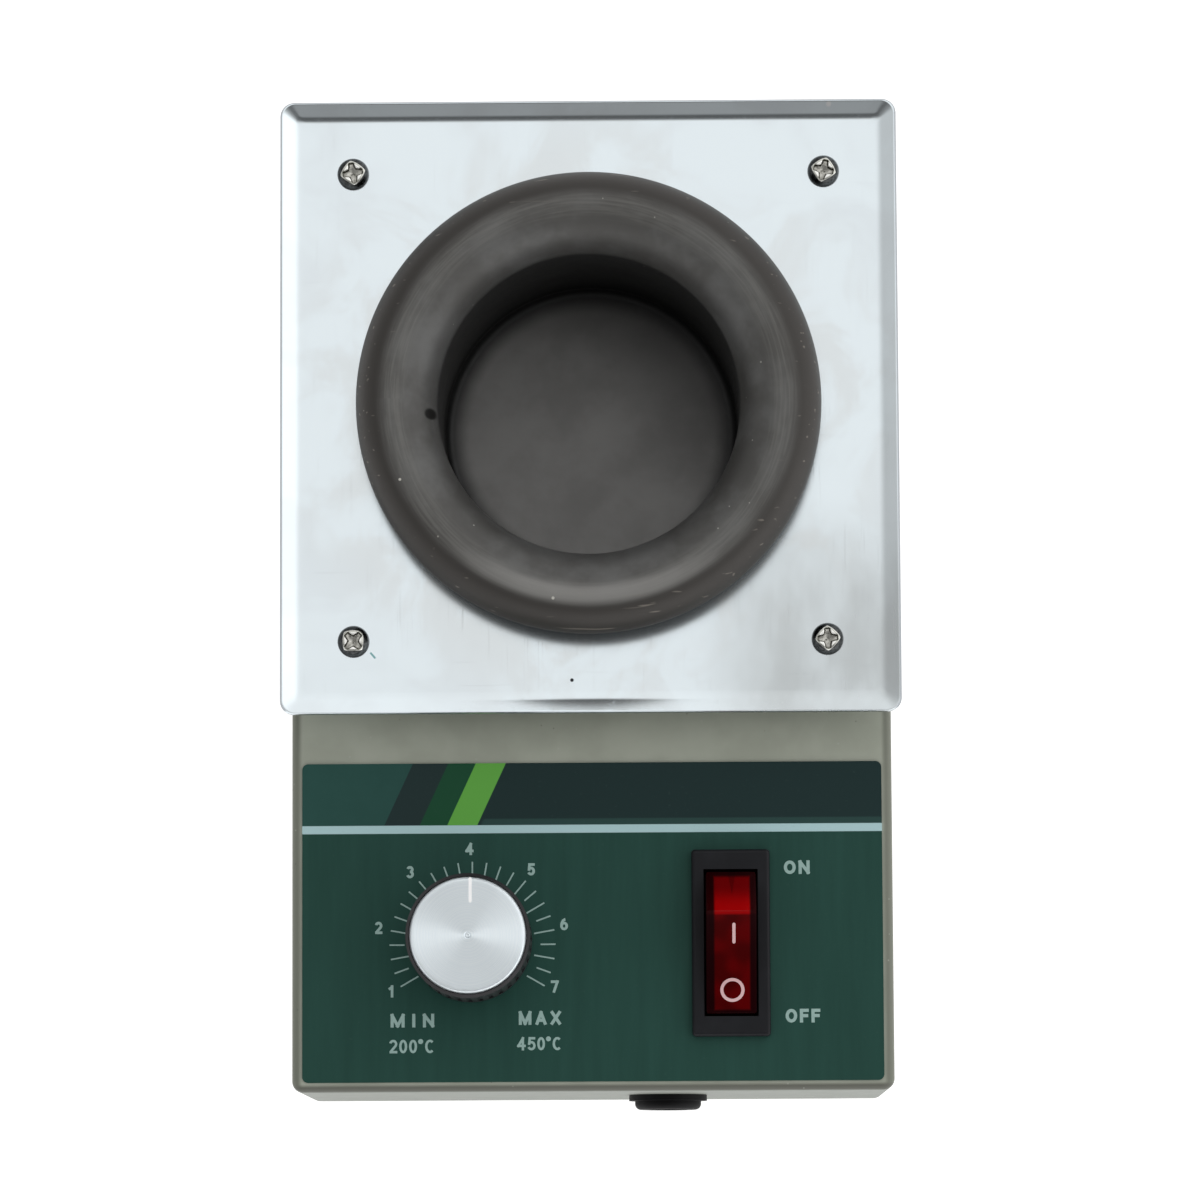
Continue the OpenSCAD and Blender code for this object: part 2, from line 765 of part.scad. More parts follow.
module switch_terminals() {
    tab = [0.8, 6.3, terminal_drop];
    color("#c7b27a") for (i = [-1:1])
        translate([switch_x - tab.x / 2, switch_y + i * terminal_pitch - tab.y / 2, housing_z - tab.z])
        difference() {
            cube(tab);
            translate([-1, tab.y / 2, 2.5]) rotate([0, 90, 0]) cylinder(r = 0.9, h = 3);
        }
}

// ---------- Lead entry ----------

module cable_bushing() {
    soft = 1;
    color("#17171a") translate([bushing_x, front_y, bushing_z]) rotate([90, 0, 0]) difference() {
        rotate_extrude() {
            translate([0, -sheet_t - bushing_back]) square([bushing_neck_r, sheet_t + bushing_back]);
            square([bushing_flange_r, bushing_flange_t]);
            square([bushing_dome_r, bushing_proud - soft]);
            translate([bushing_dome_r - soft, bushing_proud - soft]) ring_sector(0, soft, 0, 90);
            square([bushing_dome_r - soft, bushing_proud]);
            translate([0, -sheet_t - thread_gap - groove_w])
                square([bushing_neck_r + groove_catch, groove_w]);
        }
        translate([0, 0, -sheet_t - bushing_back]) hole(lead_r, sheet_t + bushing_back + bushing_proud);
    }
}

// ---------- Electronics ----------

module at_board_holes() {
    translate([board_x, board_y, 0]) at_corners(board_hole_x, board_hole_y) children();
}

module control_board() {
    color("#2f6b45") difference() {
        translate([board_x, board_y, board_z]) linear_extrude(board_t) round_rect(board_w, board_d, 1.5);
        at_board_holes() translate([0, 0, board_z]) hole(screw_hole_r, board_t);
    }
}

module board_standoffs() {
    color("#c9b06a") at_board_holes() translate([0, 0, floor_top])
        hex_nut(3, standoff_h, screw_r + thread_gap);
}

module board_screws() {
    color("#c9ccce") at_board_holes() translate([0, 0, board_top]) pan_screw(board_t + screw_reach);
}

// Cooling fins on an upright web that the triac is held to
module heat_sink() {
    fins = 6;
    fin_t = 1.2 * sheet_t;
    fin_pitch = (sink_size.y - fin_t) / (fins - 1);
    web_t = 2 * sheet_t;
    color("#2a2b2d") translate([sink_x, sink_y, board_top]) {
        translate([sink_size.x - web_t, -sink_size.y / 2, 0]) cube([web_t, sink_size.y, sink_size.z]);
        for (i = [0:fins - 1]) translate([0, -sink_size.y / 2 + i * fin_pitch, 0])
            cube([sink_size.x - web_t + eps, fin_t, sink_size.z]);
    }
}

module triac() {
    tab = [1.3, 10, 15.6];
    body = [4.4, 10, 9];
    leg = [0.5, 0.8, 2.5];
    leg_pitch = 2.54;
    color("#222224") translate([sink_x + sink_size.x, sink_y, board_top + leg.z]) {
        translate([0, -tab.y / 2, 0]) cube(tab);
        translate([tab.x - eps, -body.y / 2, 0]) cube([body.x - tab.x, body.y, body.z]);
        for (i = [-1:1]) translate([body.x / 2, i * leg_pitch - leg.y / 2, -leg.z])
            cube(leg + [0, 0, eps]);
    }
}

module capacitor() {
    color("#b5452c") translate([board_x + 4, capacitor_y, board_top])
        soft_block(capacitor_size.x, capacitor_size.y, capacitor_size.z, 0.8);
}

// Screw terminals: a screw shaft from above and a wire's entry from the front for each way
module terminal_block() {
    entry = [0.63 * way, block_size.y, 0.4 * block_size.z];
    color("#2c7a52") translate([block_x, block_y, board_top]) difference() {
        translate([-block_size.x / 2, -block_size.y / 2, 0]) cube(block_size);
        for (i = [0:ways - 1]) translate([(i - (ways - 1) / 2) * way, 0, 0]) {
            translate([0, 1, entry.z]) cylinder(r = 0.375 * way, h = block_size.z);
            translate([-entry.x / 2, -block_size.y, 2]) cube(entry);
        }
    }
}

module at_earth(z) {
    translate([0, front_y + earth_from_front, z]) children();
}

module earth_stud() {
    color("#c9b06a") at_earth(floor_top) {
        cylinder(r = earth_r, h = 9);
        cylinder(r = 2 * earth_r, h = earth_head_h);
    }
}

module earth_nut() {
    color("#c9b06a") at_earth(floor_top + earth_head_h)
        hex_nut(2 * earth_r, 1.6 * earth_r, earth_r + thread_gap);
}

case_shell();
base_plate();
base_screws();
rubber_foot(-foot_x, foot_front_y);  // foot_front_left
rubber_foot(foot_x, foot_front_y);  // foot_front_right
rubber_foot(-foot_x, foot_back_y);  // foot_back_left
rubber_foot(foot_x, foot_back_y);  // foot_back_right
foot_screws();
drip_tray();
tray_spacers();
tray_screws();
tray_nuts();
crucible();
heater_band();
band_screw();
band_nut();
heater_sleeve();
insulation_pad();
heat_shield();
control_label();
knob_body();
knob_cap();
control_shaft();
potentiometer();
bushing_nut();
bushing_washer();
switch_housing();
rocker();
switch_terminals();
cable_bushing();
control_board();
board_standoffs();
board_screws();
triac();
heat_sink();
capacitor();
terminal_block();
earth_stud();
earth_nut();
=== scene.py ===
"""Looks of the solder pot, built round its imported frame. Metres, +Z up, +Y to the back."""
import json
import math

import bmesh
import bpy
import numpy as np
from mathutils import Euler, Matrix, Vector


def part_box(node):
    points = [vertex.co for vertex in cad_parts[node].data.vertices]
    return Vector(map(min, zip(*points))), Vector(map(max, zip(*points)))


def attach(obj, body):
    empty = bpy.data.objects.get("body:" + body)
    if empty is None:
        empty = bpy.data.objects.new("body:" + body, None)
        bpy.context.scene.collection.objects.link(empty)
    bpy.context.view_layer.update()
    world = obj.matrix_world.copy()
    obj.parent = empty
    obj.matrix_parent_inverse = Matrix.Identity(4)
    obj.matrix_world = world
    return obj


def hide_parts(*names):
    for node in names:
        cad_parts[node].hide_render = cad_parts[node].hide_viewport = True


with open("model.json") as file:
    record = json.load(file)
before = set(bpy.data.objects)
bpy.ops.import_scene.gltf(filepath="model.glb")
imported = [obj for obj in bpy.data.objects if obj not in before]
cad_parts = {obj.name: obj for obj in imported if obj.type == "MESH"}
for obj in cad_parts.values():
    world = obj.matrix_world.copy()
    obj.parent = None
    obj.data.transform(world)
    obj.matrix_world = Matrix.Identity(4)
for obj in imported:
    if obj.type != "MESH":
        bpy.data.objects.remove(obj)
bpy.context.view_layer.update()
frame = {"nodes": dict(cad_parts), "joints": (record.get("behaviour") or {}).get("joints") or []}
NODES = frame["nodes"]
JOINTS = {j["name"]: j for j in frame["joints"]}
MM = 0.001
MERGE = 2e-7
TAU = 2 * math.pi


# ---------------------------------------------------------------- places, in millimetres

def box_mm(node):
    """Lowest and highest corner of a CAD node."""
    low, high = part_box(node)
    return np.array(low) / MM, np.array(high) / MM


TRAY_LOW, TRAY_HIGH = box_mm("drip_tray")
POT_LOW, POT_HIGH = box_mm("crucible")
_, LABEL_HIGH = box_mm("control_label")
CASE_LOW, CASE_HIGH = box_mm("case_shell")
TRAY_MID = (TRAY_LOW + TRAY_HIGH) / 2
POT_MID = (POT_LOW + POT_HIGH) / 2
KNOB_X, KNOB_Y, _ = np.array(JOINTS["knob_turn"]["pos_m"]) / MM
PIVOT = np.array(JOINTS["rocker_press"]["pos_m"]) / MM
DECK_Z = CASE_HIGH[2]
PANEL_Z = LABEL_HIGH[2]
FRONT_Y = CASE_LOW[1]


# ---------------------------------------------------------------- curves and surfaces

def arc(centre, radius, start, end, steps=25):
    """Points of an arc: centre + radius * (cos a, sin a) for angles from start to end, in degrees. A pair
    of radii, across and up, gives an elliptical one."""
    angle = np.radians(np.linspace(start, end, steps))
    return np.array(centre) + np.column_stack([np.cos(angle), np.sin(angle)]) * radius


def join(*parts):
    """One profile from several, with repeated points left out."""
    points = np.vstack(parts)
    step = np.linalg.norm(np.diff(points, axis=0), axis=1)
    return points[np.concatenate([[True], step > 1e-6])]


def rounded_square(half, radius, corner_steps, side_steps):
    """Outline of a square with round corners: a quarter arc and the straight side after it, set four times,
    each a quarter turn further: (x, y), (-y, x), (-x, -y), (y, -x)."""
    corner = arc((half - radius, half - radius), radius, 0, 90, corner_steps)
    along = np.linspace(0, 1, side_steps + 1)[1:-1, None]
    quarter = np.vstack([corner, corner[-1] - along * [2 * (half - radius), 0]])
    x, y = quarter[:, :1], quarter[:, 1:]
    return np.vstack([quarter, np.hstack([-y, x]), np.hstack([-x, -y]), np.hstack([y, -x])])


def linked(name, data):
    """An object that shows this data, added to the scene."""
    made = bpy.data.objects.new(name, data)
    bpy.context.scene.collection.objects.link(made)
    return made


def grid_faces(rows, columns, close_rows=False, close_columns=True):
    """Four-sided faces of a grid of rows x columns points, as an array of point numbers."""
    r = np.arange(rows if close_rows else rows - 1)
    c = np.arange(columns if close_columns else columns - 1)
    r, c = np.meshgrid(r, c, indexing="ij")
    r_next, c_next = (r + 1) % rows, (c + 1) % columns
    corners = [r * columns + c, r * columns + c_next, r_next * columns + c_next, r_next * columns + c]
    return np.stack([k.ravel() for k in corners], axis=1)


def surface(name, grid, close_rows=False, close_columns=True, smooth_angle=40):
    """An object from a grid of points in millimetres, rows x columns x 3. Points that meet are merged, and
    the faces are turned outwards."""
    mesh = bpy.data.meshes.new(name)
    mesh.from_pydata((grid.reshape(-1, 3) * MM).tolist(), [],
                     grid_faces(*grid.shape[:2], close_rows, close_columns).tolist())
    work = bmesh.new()
    work.from_mesh(mesh)
    bmesh.ops.remove_doubles(work, verts=work.verts, dist=MERGE)
    bmesh.ops.recalc_face_normals(work, faces=work.faces)
    work.to_mesh(mesh)
    work.free()
    mesh.polygons.foreach_set("use_smooth", np.ones(len(mesh.polygons), bool))
    mesh.set_sharp_from_angle(angle=math.radians(smooth_angle))
    return linked(name, mesh)


def places(made):
    """The places of a mesh's points, in millimetres."""
    at = np.empty(len(made.data.vertices) * 3)
    made.data.vertices.foreach_get("co", at)
    return at.reshape(-1, 3) / MM


def carry(made, name, field):
    """Lets a mesh carry a value for each of its points, which its finish reads."""
    made.data.attributes.new(name, "FLOAT", "POINT").data.foreach_set("value", field)


def revolve(name, profile, centre, turns=192, smooth_angle=40):
    """A profile of (radius, height) turned about the upright axis through centre: each point becomes
    (cx + r cos t, cy + r sin t, h) for t round the circle."""
    t = np.linspace(0, TAU, turns, endpoint=False)
    r, h = profile[:, 0][:, None], profile[:, 1][:, None]
    grid = np.stack([centre[0] + r * np.cos(t), centre[1] + r * np.sin(t), h + 0 * t], axis=2)
    return surface(name, grid, smooth_angle=smooth_angle)


def merged(name, pieces):
    """One object from several, which are then gone."""
    work = bmesh.new()
    for piece in pieces:
        work.from_mesh(piece.data)
        bpy.data.objects.remove(piece)
    mesh = bpy.data.meshes.new(name)
    work.to_mesh(mesh)
    work.free()
    return linked(name, mesh)


# ---------------------------------------------------------------- shader sockets

class Wire:
    """A shader socket that takes part in sums: each operator adds one Math node."""

    def __init__(self, tree, socket):
        self.tree, self.socket = tree, socket

    def maths(self, operation, *others):
        """This value and the others through one Math node."""
        node = self.tree.nodes.new("ShaderNodeMath")
        node.operation = operation
        for place, value in zip(node.inputs, (self, *others)):
            if isinstance(value, Wire):
                self.tree.links.new(value.socket, place)
            else:
                place.default_value = value
        return Wire(self.tree, node.outputs[0])

    def lift(self, value):
        """A plain number as a node, for where it comes before the operator."""
        node = self.tree.nodes.new("ShaderNodeValue")
        node.outputs[0].default_value = value
        return Wire(self.tree, node.outputs[0])

    def __add__(self, other): return self.maths("ADD", other)
    def __radd__(self, other): return self.maths("ADD", other)
    def __sub__(self, other): return self.maths("SUBTRACT", other)
    def __rsub__(self, other): return self.lift(other).maths("SUBTRACT", self)
    def __mul__(self, other): return self.maths("MULTIPLY", other)
    def __rmul__(self, other): return self.maths("MULTIPLY", other)
    def __truediv__(self, other): return self.maths("DIVIDE", other)
    def __pow__(self, other): return self.maths("POWER", other)
    def __neg__(self): return self.maths("MULTIPLY", -1.0)
    def __abs__(self): return self.maths("ABSOLUTE")
    def least(self, other): return self.maths("MINIMUM", other)
    def most(self, other): return self.maths("MAXIMUM", other)
    def root(self): return self.maths("SQRT")
    def sine(self): return self.maths("SINE")

    def clamp(self):
        """Held between 0 and 1."""
        return self.most(0.0).least(1.0)

    def step(self, start, end):
        """0 up to start, 1 from end, and a soft step between them."""
        t = ((self - start) / (end - start)).clamp()
        return t * t * (3.0 - 2.0 * t)

    def between(self, low, high, soft):
        """1 from low to high, falling to 0 over the soft distance at each end."""
        return self.step(low - soft, low + soft) * (1.0 - self.step(high - soft, high + soft))


class Nodes:
    """A node tree, and the one way in which nodes are added to it."""

    def __init__(self, tree):
        self.tree = tree

    def node(self, kind, settings=None, inputs=None, out=0):
        """Adds a node with its settings and inputs, and gives one of its outputs."""
        node = self.tree.nodes.new(kind)
        for key, value in (settings or {}).items():
            if key == "stops":
                ramp = node.color_ramp
                while len(ramp.elements) < len(value):
                    ramp.elements.new(0.5)
                for element, (position, colour) in zip(ramp.elements, value):
                    element.position, element.color = position, (*colour, 1)
            else:
                setattr(node, key, value)
        for key, value in (inputs or {}).items():
            if isinstance(value, Wire):
                self.tree.links.new(value.socket, node.inputs[key])
            else:
                node.inputs[key].default_value = value
        return Wire(self.tree, node.outputs[out])

    def parts(self, vector):
        """The x, y and z of a vector."""
        return tuple(self.node("ShaderNodeSeparateXYZ", inputs={0: vector}, out=k) for k in range(3))


class Finish(Nodes):
    """A material: a Principled shader, and the nodes that feed it. Its x, y and z are in millimetres."""

    def __init__(self, name, **sockets):
        self.material = bpy.data.materials.new(name)
        self.material.use_nodes = True
        super().__init__(self.material.node_tree)
        self.shader = self.tree.nodes["Principled BSDF"]
        self.place = self.node("ShaderNodeTexCoord", out="Object")
        self.x, self.y, self.z = (k / MM for k in self.parts(self.place))
        self.set(**sockets)

    def field(self, name):
        """A value that the mesh carries."""
        return self.node("ShaderNodeAttribute", {"attribute_name": name}, out="Fac")

    def set(self, **sockets):
        """Sets the shader's sockets: base_color=(...), roughness=..., and so on."""
        for key, value in sockets.items():
            socket = self.shader.inputs[key.replace("_", " ").title().replace("Ior", "IOR")]
            if isinstance(value, Wire):
                self.tree.links.new(value.socket, socket)
            elif isinstance(value, (tuple, list)):
                socket.default_value = (*value, 1)
            else:
                socket.default_value = value

    def stretched(self, x=1.0, y=1.0, z=1.0, turn=0.0):
        """Object coordinates, stretched and turned about Z."""
        return self.node("ShaderNodeMapping", {"vector_type": "POINT"},
                         {"Vector": self.place, "Scale": (x, y, z), "Rotation": (0, 0, math.radians(turn))})

    def noise(self, size, detail=3.0, rough=0.5, where=None, twist=0.0):
        """Soft noise from 0 to 1 whose blobs are about size millimetres across."""
        return self.node("ShaderNodeTexNoise", {"noise_dimensions": "3D"},
                         {"Vector": where or self.place, "Scale": 1 / (size * MM), "Detail": detail,
                          "Roughness": rough, "Distortion": twist})

    def cells(self, size, where=None, feature="F1"):
        """Distance to the nearest of scattered points, about size millimetres apart."""
        return self.node("ShaderNodeTexVoronoi", {"feature": feature},
                         {"Vector": where or self.place, "Scale": 1 / (size * MM)})

    def mix(self, one, other, share):
        """A colour that goes from one to the other as share goes from 0 to 1."""
        one, other = ((*c, 1) if isinstance(c, (tuple, list)) else c for c in (one, other))
        return self.node("ShaderNodeMix", {"data_type": "RGBA", "blend_type": "MIX"},
                         {0: share, 6: one, 7: other}, out=2)

    def bump(self, height, depth, strength=1.0):
        """Relief: height from 0 to 1 stands for a depth in millimetres."""
        self.set(normal=self.node("ShaderNodeBump", None,
                                  {"Height": height, "Distance": depth * MM, "Strength": strength}))

    def distance(self, x, y):
        """Distance from an upright axis, in millimetres."""
        return ((self.x - x) ** 2.0 + (self.y - y) ** 2.0).root()

    def dress(self, *objects):
        """Gives this finish to objects or CAD nodes, by name."""
        for thing in objects:
            thing = NODES.get(thing, thing)
            if not thing.material_slots:
                thing.data.materials.append(self.material)
            for slot in thing.material_slots:
                slot.link = "OBJECT"
                slot.material = self.material


def from_srgb(red, green, blue):
    """Linear colour from the usual 0 to 255 levels."""
    level = np.array([red, green, blue]) / 255
    return tuple(np.where(level <= 0.04045, level / 12.92, ((level + 0.055) / 1.055) ** 2.4).tolist())


# ---------------------------------------------------------------- finishes

def case_paint():
    """Grey-green enamel with a fine orange-peel skin, paler dust specks and dark pits; the side folds, the
    front fold and the front wall carry painted shade.
    """
    f = Finish("case_paint", specular_ior_level=0.3)
    mottle = f.noise(9, 3)
    speck = 1.0 - f.cells(2.6).step(0.045, 0.075)
    pit = 1.0 - f.cells(3.7, f.stretched(1.07, 0.94, 1.0, 31)).step(0.035, 0.06)
    base = f.mix(from_srgb(154, 158, 145), from_srgb(163, 167, 154), mottle.step(0.35, 0.65))
    # Painted shade: the side folds and the front fold are painted darker than the deck, and the front wall
    # below the fold a darker, cooler grey.
    side = abs(f.x).step(CASE_HIGH[0] - 1.9, CASE_HIGH[0] - 0.9)
    front = (f.y - FRONT_Y).step(1.5, 0.7)
    base = f.mix(base, from_srgb(112, 115, 104), side)
    base = f.mix(base, from_srgb(92, 93, 85), front)
    base = f.mix(base, from_srgb(111, 116, 107), front * f.z.step(DECK_Z - 0.5, DECK_Z - 1.2))
    base = f.mix(base, from_srgb(175, 178, 168), speck * 0.4)
    base = f.mix(base, from_srgb(92, 94, 86), pit * 0.5)
    f.set(base_color=base, roughness=0.38 + 0.12 * f.noise(4, 4))
    f.bump(f.noise(0.55, 2), 0.02, 0.6)
    return f


TRAY_DOT = (-3.1, -45.9)
TRAY_NICK = (40.3, 50.6)
TRAY_RUB = (-36.1, -41.6)
RUB_WAY = (0.65, -0.76)


def tray_steel():
    """Bright rolled stainless sheet: cloudy smudges, hair scratches, a few stray marks, and a faint greying
    round the pot, partly smudge and partly painted shade.
    """
    f = Finish("tray_steel", metallic=1.0)
    cloud = f.noise(16, 4, 0.55, twist=0.6)
    smear = f.noise(9, 3, 0.5, f.stretched(1, 0.5, 1, 12))
    hair_a = f.noise(0.35, 2, 0.5, f.stretched(1, 0.03, 1, 2))
    hair_b = f.noise(0.5, 2, 0.5, f.stretched(0.04, 1, 1, 8))
    hair_c = f.noise(0.9, 1, 0.5, f.stretched(1, 0.05, 1, 52))
    hairs = hair_a.step(0.62, 0.74) * 0.5 + hair_b.step(0.66, 0.76) * 0.4 + hair_c.step(0.72, 0.8) * 0.6
    near = 1.0 - f.distance(POT_MID[0], POT_MID[1]).step(40.0, 56.0)
    corner = f.x.step(14.0, 34.0) * (f.y - TRAY_MID[1]).step(-14.0, -34.0)
    base = f.mix(from_srgb(231, 240, 244), from_srgb(226, 234, 238), cloud.step(0.4, 0.68))
    base = f.mix(base, from_srgb(196, 201, 202), corner * (0.5 + 0.5 * smear.step(0.3, 0.7)) * 0.9)
    # Greyer in patches round the pot: partly smudge, partly painted shade from the pot.
    base = f.mix(base, from_srgb(218, 219, 216), near * cloud.step(0.45, 0.6) * 0.3)
    half = (TRAY_HIGH[0] - TRAY_LOW[0]) / 2
    past_x = (abs(f.x) - (half - RIM_CORNER)).most(0.0)
    past_y = (abs(f.y - TRAY_MID[1]) - (half - RIM_CORNER)).most(0.0)
    shear = (past_x * past_x + past_y * past_y).root().step(RIM_CORNER - 0.32, RIM_CORNER - 0.26)
    shear = shear * (1.0 - 0.8 * (f.y - TRAY_MID[1]).step(-half + 0.9, -half + 0.4))
    base = f.mix(base, from_srgb(158, 163, 168), shear)
    dot = 1.0 - f.distance(TRAY_DOT[0], TRAY_MID[1] + TRAY_DOT[1]).step(0.2, 0.38)
    nick = 1.0 - f.distance(TRAY_NICK[0], TRAY_MID[1] + TRAY_NICK[1]).step(0.25, 0.6)
    base = f.mix(base, from_srgb(40, 42, 44), dot)
    base = f.mix(base, from_srgb(252, 253, 253), nick)
    dx, dy = f.x - TRAY_RUB[0], f.y - (TRAY_MID[1] + TRAY_RUB[1])
    along, across = dx * RUB_WAY[0] + dy * RUB_WAY[1], dy * RUB_WAY[0] - dx * RUB_WAY[1]
    rub = (1.0 - abs(along).step(0.5, 0.75)) * (1.0 - abs(across).step(0.1, 0.22))
    base = f.mix(base, from_srgb(60, 140, 140), rub * 0.8)
    f.set(base_color=base,
          roughness=0.13 + 0.08 * cloud + 0.1 * hairs + 0.1 * corner * smear + 0.25 * shear)
    f.bump(hairs + 0.6 * f.noise(22, 1), 0.006, 0.5)
    return f


def screw_plating():
    """Plating with its light painted in: near-white lands inside the diamond as a painted highlight, greyer
    at its edge, dark cross walls as painted shade, a paler cross floor, and a near-black dome as a painted
    reflection of dark surroundings, all mottled with grime. The mesh carries how far out each point is, 1 on
    the diamond, and how deep in the cross, 1 on its floor."""
    f = Finish("screw_plating", metallic=1.0)
    out, deep = f.field("out"), f.field("deep")
    grime = f.noise(0.5, 3).step(0.3, 0.75)
    # Painted highlight: near white inside the diamond, greyer at its edge.
    base = f.mix(from_srgb(252, 252, 248), from_srgb(198, 199, 190), out.between(0.9, 1.04, 0.03))
    # Painted shade on the walls of the cross.
    base = f.mix(base, from_srgb(70, 70, 62), deep.step(0.05, 0.35))
    # The cross's floor is painted paler than its walls, as light, and mottled by grime.
    floor = f.mix(from_srgb(196, 195, 188), from_srgb(150, 149, 142), grime)
    base = f.mix(base, floor, deep.step(0.7, 0.95))
    # Painted reflection: the dome is near black, standing for the dark surroundings it mirrors, and mottled
    # by grime.
    dome = f.mix(from_srgb(46, 48, 48), from_srgb(82, 84, 85), grime)
    base = f.mix(base, dome, out.step(1.04, 1.1))
    f.set(base_color=base, roughness=0.2 + 0.14 * grime)
    f.bump(f.noise(0.3, 2), 0.01, 0.5)
    return f


POT_SPOT = (-26.0, -2.1)
POT_SPECKS = [(-19.9, -35.4, 0.34), (-5.9, -33.1, 0.3), (-30.9, -13.4, 0.28)]


def crucible_coat():
    """Dark oxidised steel, greyer within, with turned streaks on the crest and a few specks. Painted in are:
    shade on the brim's outer curl; a highlight along the crest, paler still at the front, partly from wear;
    shade down the well; a paler floor standing for the light on it; a painted shadow across the floor; and
    shade where the floor meets the wall.
    """
    f = Finish("crucible_coat", metallic=0.35, specular_ior_level=0.5)
    radius = f.distance(POT_MID[0], POT_MID[1])
    cloud = f.noise(12, 4, 0.6)
    grain = f.noise(0.8, 3, 0.6)
    angle = (f.y - POT_MID[1]).maths("ARCTAN2", f.x - POT_MID[0])
    turned = f.node("ShaderNodeCombineXYZ", None, {0: radius * MM, 1: angle * 0.0016, 2: f.z * MM * 0.2})
    streak = f.noise(0.35, 2, 0.5, turned)
    outside = radius.step(CREST_R - 0.8, CREST_R + 2.7)
    crest = radius.between(CREST_R - 2.4, CREST_R + 1.2, 1.2)
    base = f.mix(from_srgb(92, 92, 91), from_srgb(74, 73, 71), cloud.step(0.35, 0.65))
    # Painted shade: the brim's outer curl, turned down and away from the light, is painted darker and
    # browner.
    base = f.mix(base, from_srgb(50, 47, 44), outside)
    # Painted highlight along the crest, broken up by the turned streaks.
    base = f.mix(base, from_srgb(118, 117, 113), crest * (0.35 + 0.65 * streak.step(0.35, 0.7)) * 0.42)
    # Paler on the front of the crest: partly painted highlight, partly wear.
    rubbed_and_lit = radius.between(CREST_R - 1.6, CREST_R + 1.2, 0.8) * (POT_MID[1] - f.y).step(22.0, 33.0)
    base = f.mix(base, from_srgb(140, 139, 136), rubbed_and_lit * 0.7)
    # Painted shade: below the flare the well is painted near black.
    well = f.z.step(POT_HIGH[2] - 5.6, POT_HIGH[2] - 8.6)
    base = f.mix(base, from_srgb(33, 33, 33), well)
    # Painted light: the floor is painted paler than the same coat on the wall and brim.
    low = f.z.step(POT_LOW[2] + 4.0, POT_LOW[2] + 2.2)
    floor = f.mix(from_srgb(142, 141, 139), from_srgb(133, 132, 130), cloud.step(0.35, 0.65))
    base = f.mix(base, floor, low)
    shade = ((f.x - POT_MID[0]) * 0.7 + (f.y - POT_MID[1]) * 0.7).step(2.0, 26.0)
    base = f.mix(base, from_srgb(86, 85, 84), low * shade * 0.9)
    # Painted shade where the floor meets the wall.
    base = f.mix(base, from_srgb(40, 40, 40), low * radius.step(WELL_R - 4.5, WELL_R - 0.6))
    spot = 1.0 - f.distance(POT_MID[0] + POT_SPOT[0], POT_MID[1] + POT_SPOT[1]).step(0.7, 1.15)
    base = f.mix(base, from_srgb(22, 21, 20), spot * f.z.step(POT_HIGH[2] - 9.0, POT_HIGH[2] - 7.0))
    pale = (1.0 - f.cells(4.2, f.stretched(1, 1, 1, 17)).step(0.028, 0.045)) * 0.45
    for x, y, size in POT_SPECKS:
        pale = pale.most(1.0 - f.distance(POT_MID[0] + x, POT_MID[1] + y).step(size * 0.6, size))
    base = f.mix(base, from_srgb(190, 188, 180), pale * f.z.step(DECK_Z + 3.0, DECK_Z + 9.0))
    scratch = f.noise(0.8, 1, 0.5, f.stretched(0.05, 1, 1, 35)).step(0.7, 0.78) * outside
    base = f.mix(base, from_srgb(120, 114, 106), scratch * 0.6)
    f.set(base_color=base, roughness=0.36 + 0.16 * cloud + 0.1 * grain)
    f.bump(0.7 * grain + 0.3 * streak, 0.03, 0.5)
    return f


HEADER_D = 10.35
PALE_LINE = 1.34
LEAN = 4.8 / HEADER_D
HEADER_BANDS = [(-29.8, from_srgb(33, 50, 50)), (-23.9, from_srgb(24, 72, 48)),
                (-19.3, from_srgb(96, 165, 70)), (-14.3, from_srgb(29, 48, 48))]


def panel_print():
    """Printed sheet: dark green field, a header with slanted bands, and a pale line under it."""
    f = Finish("panel_print", specular_ior_level=0.12)
    from_back = LABEL_HIGH[1] - f.y
    lean = f.x + from_back * LEAN
    drawn = f.noise(2.2, 4, 0.6, f.stretched(1, 0.08, 1))
    field = f.mix(from_srgb(30, 63, 55), from_srgb(40, 76, 68), drawn)
    header = f.mix(from_srgb(42, 79, 73), from_srgb(37, 73, 67), f.noise(4, 3))
    for start, colour in HEADER_BANDS:
        header = f.mix(header, colour, lean.step(start - 0.06, start + 0.06))
    last = HEADER_BANDS[-1][0]
    lower = lean.step(last + 0.2, last + 1.0) * from_back.step(HEADER_D - 1.2, HEADER_D - 0.9)
    header = f.mix(header, from_srgb(44, 72, 68), lower * 0.8)
    base = f.mix(header, field, from_back.step(HEADER_D - 0.06, HEADER_D + 0.06))
    line = from_back.between(HEADER_D, HEADER_D + PALE_LINE, 0.06)
    base = f.mix(base, from_srgb(172, 203, 206), line)
    dusty = f.noise(0.7, 4, 0.7).step(0.6, 0.8)
    base = f.mix(base, from_srgb(88, 108, 102), dusty * 0.12)
    f.set(base_color=base, roughness=0.42 + 0.12 * f.noise(6, 3))
    f.bump(f.noise(0.35, 2), 0.01, 0.4)
    return f


def panel_ink():
    """Pale printing ink, slightly uneven."""
    f = Finish("panel_ink", roughness=0.5)
    f.set(base_color=f.mix(from_srgb(156, 184, 178), from_srgb(136, 166, 160), f.noise(0.6, 3)))
    f.bump(f.noise(0.2, 2), 0.003, 0.4)
    return f


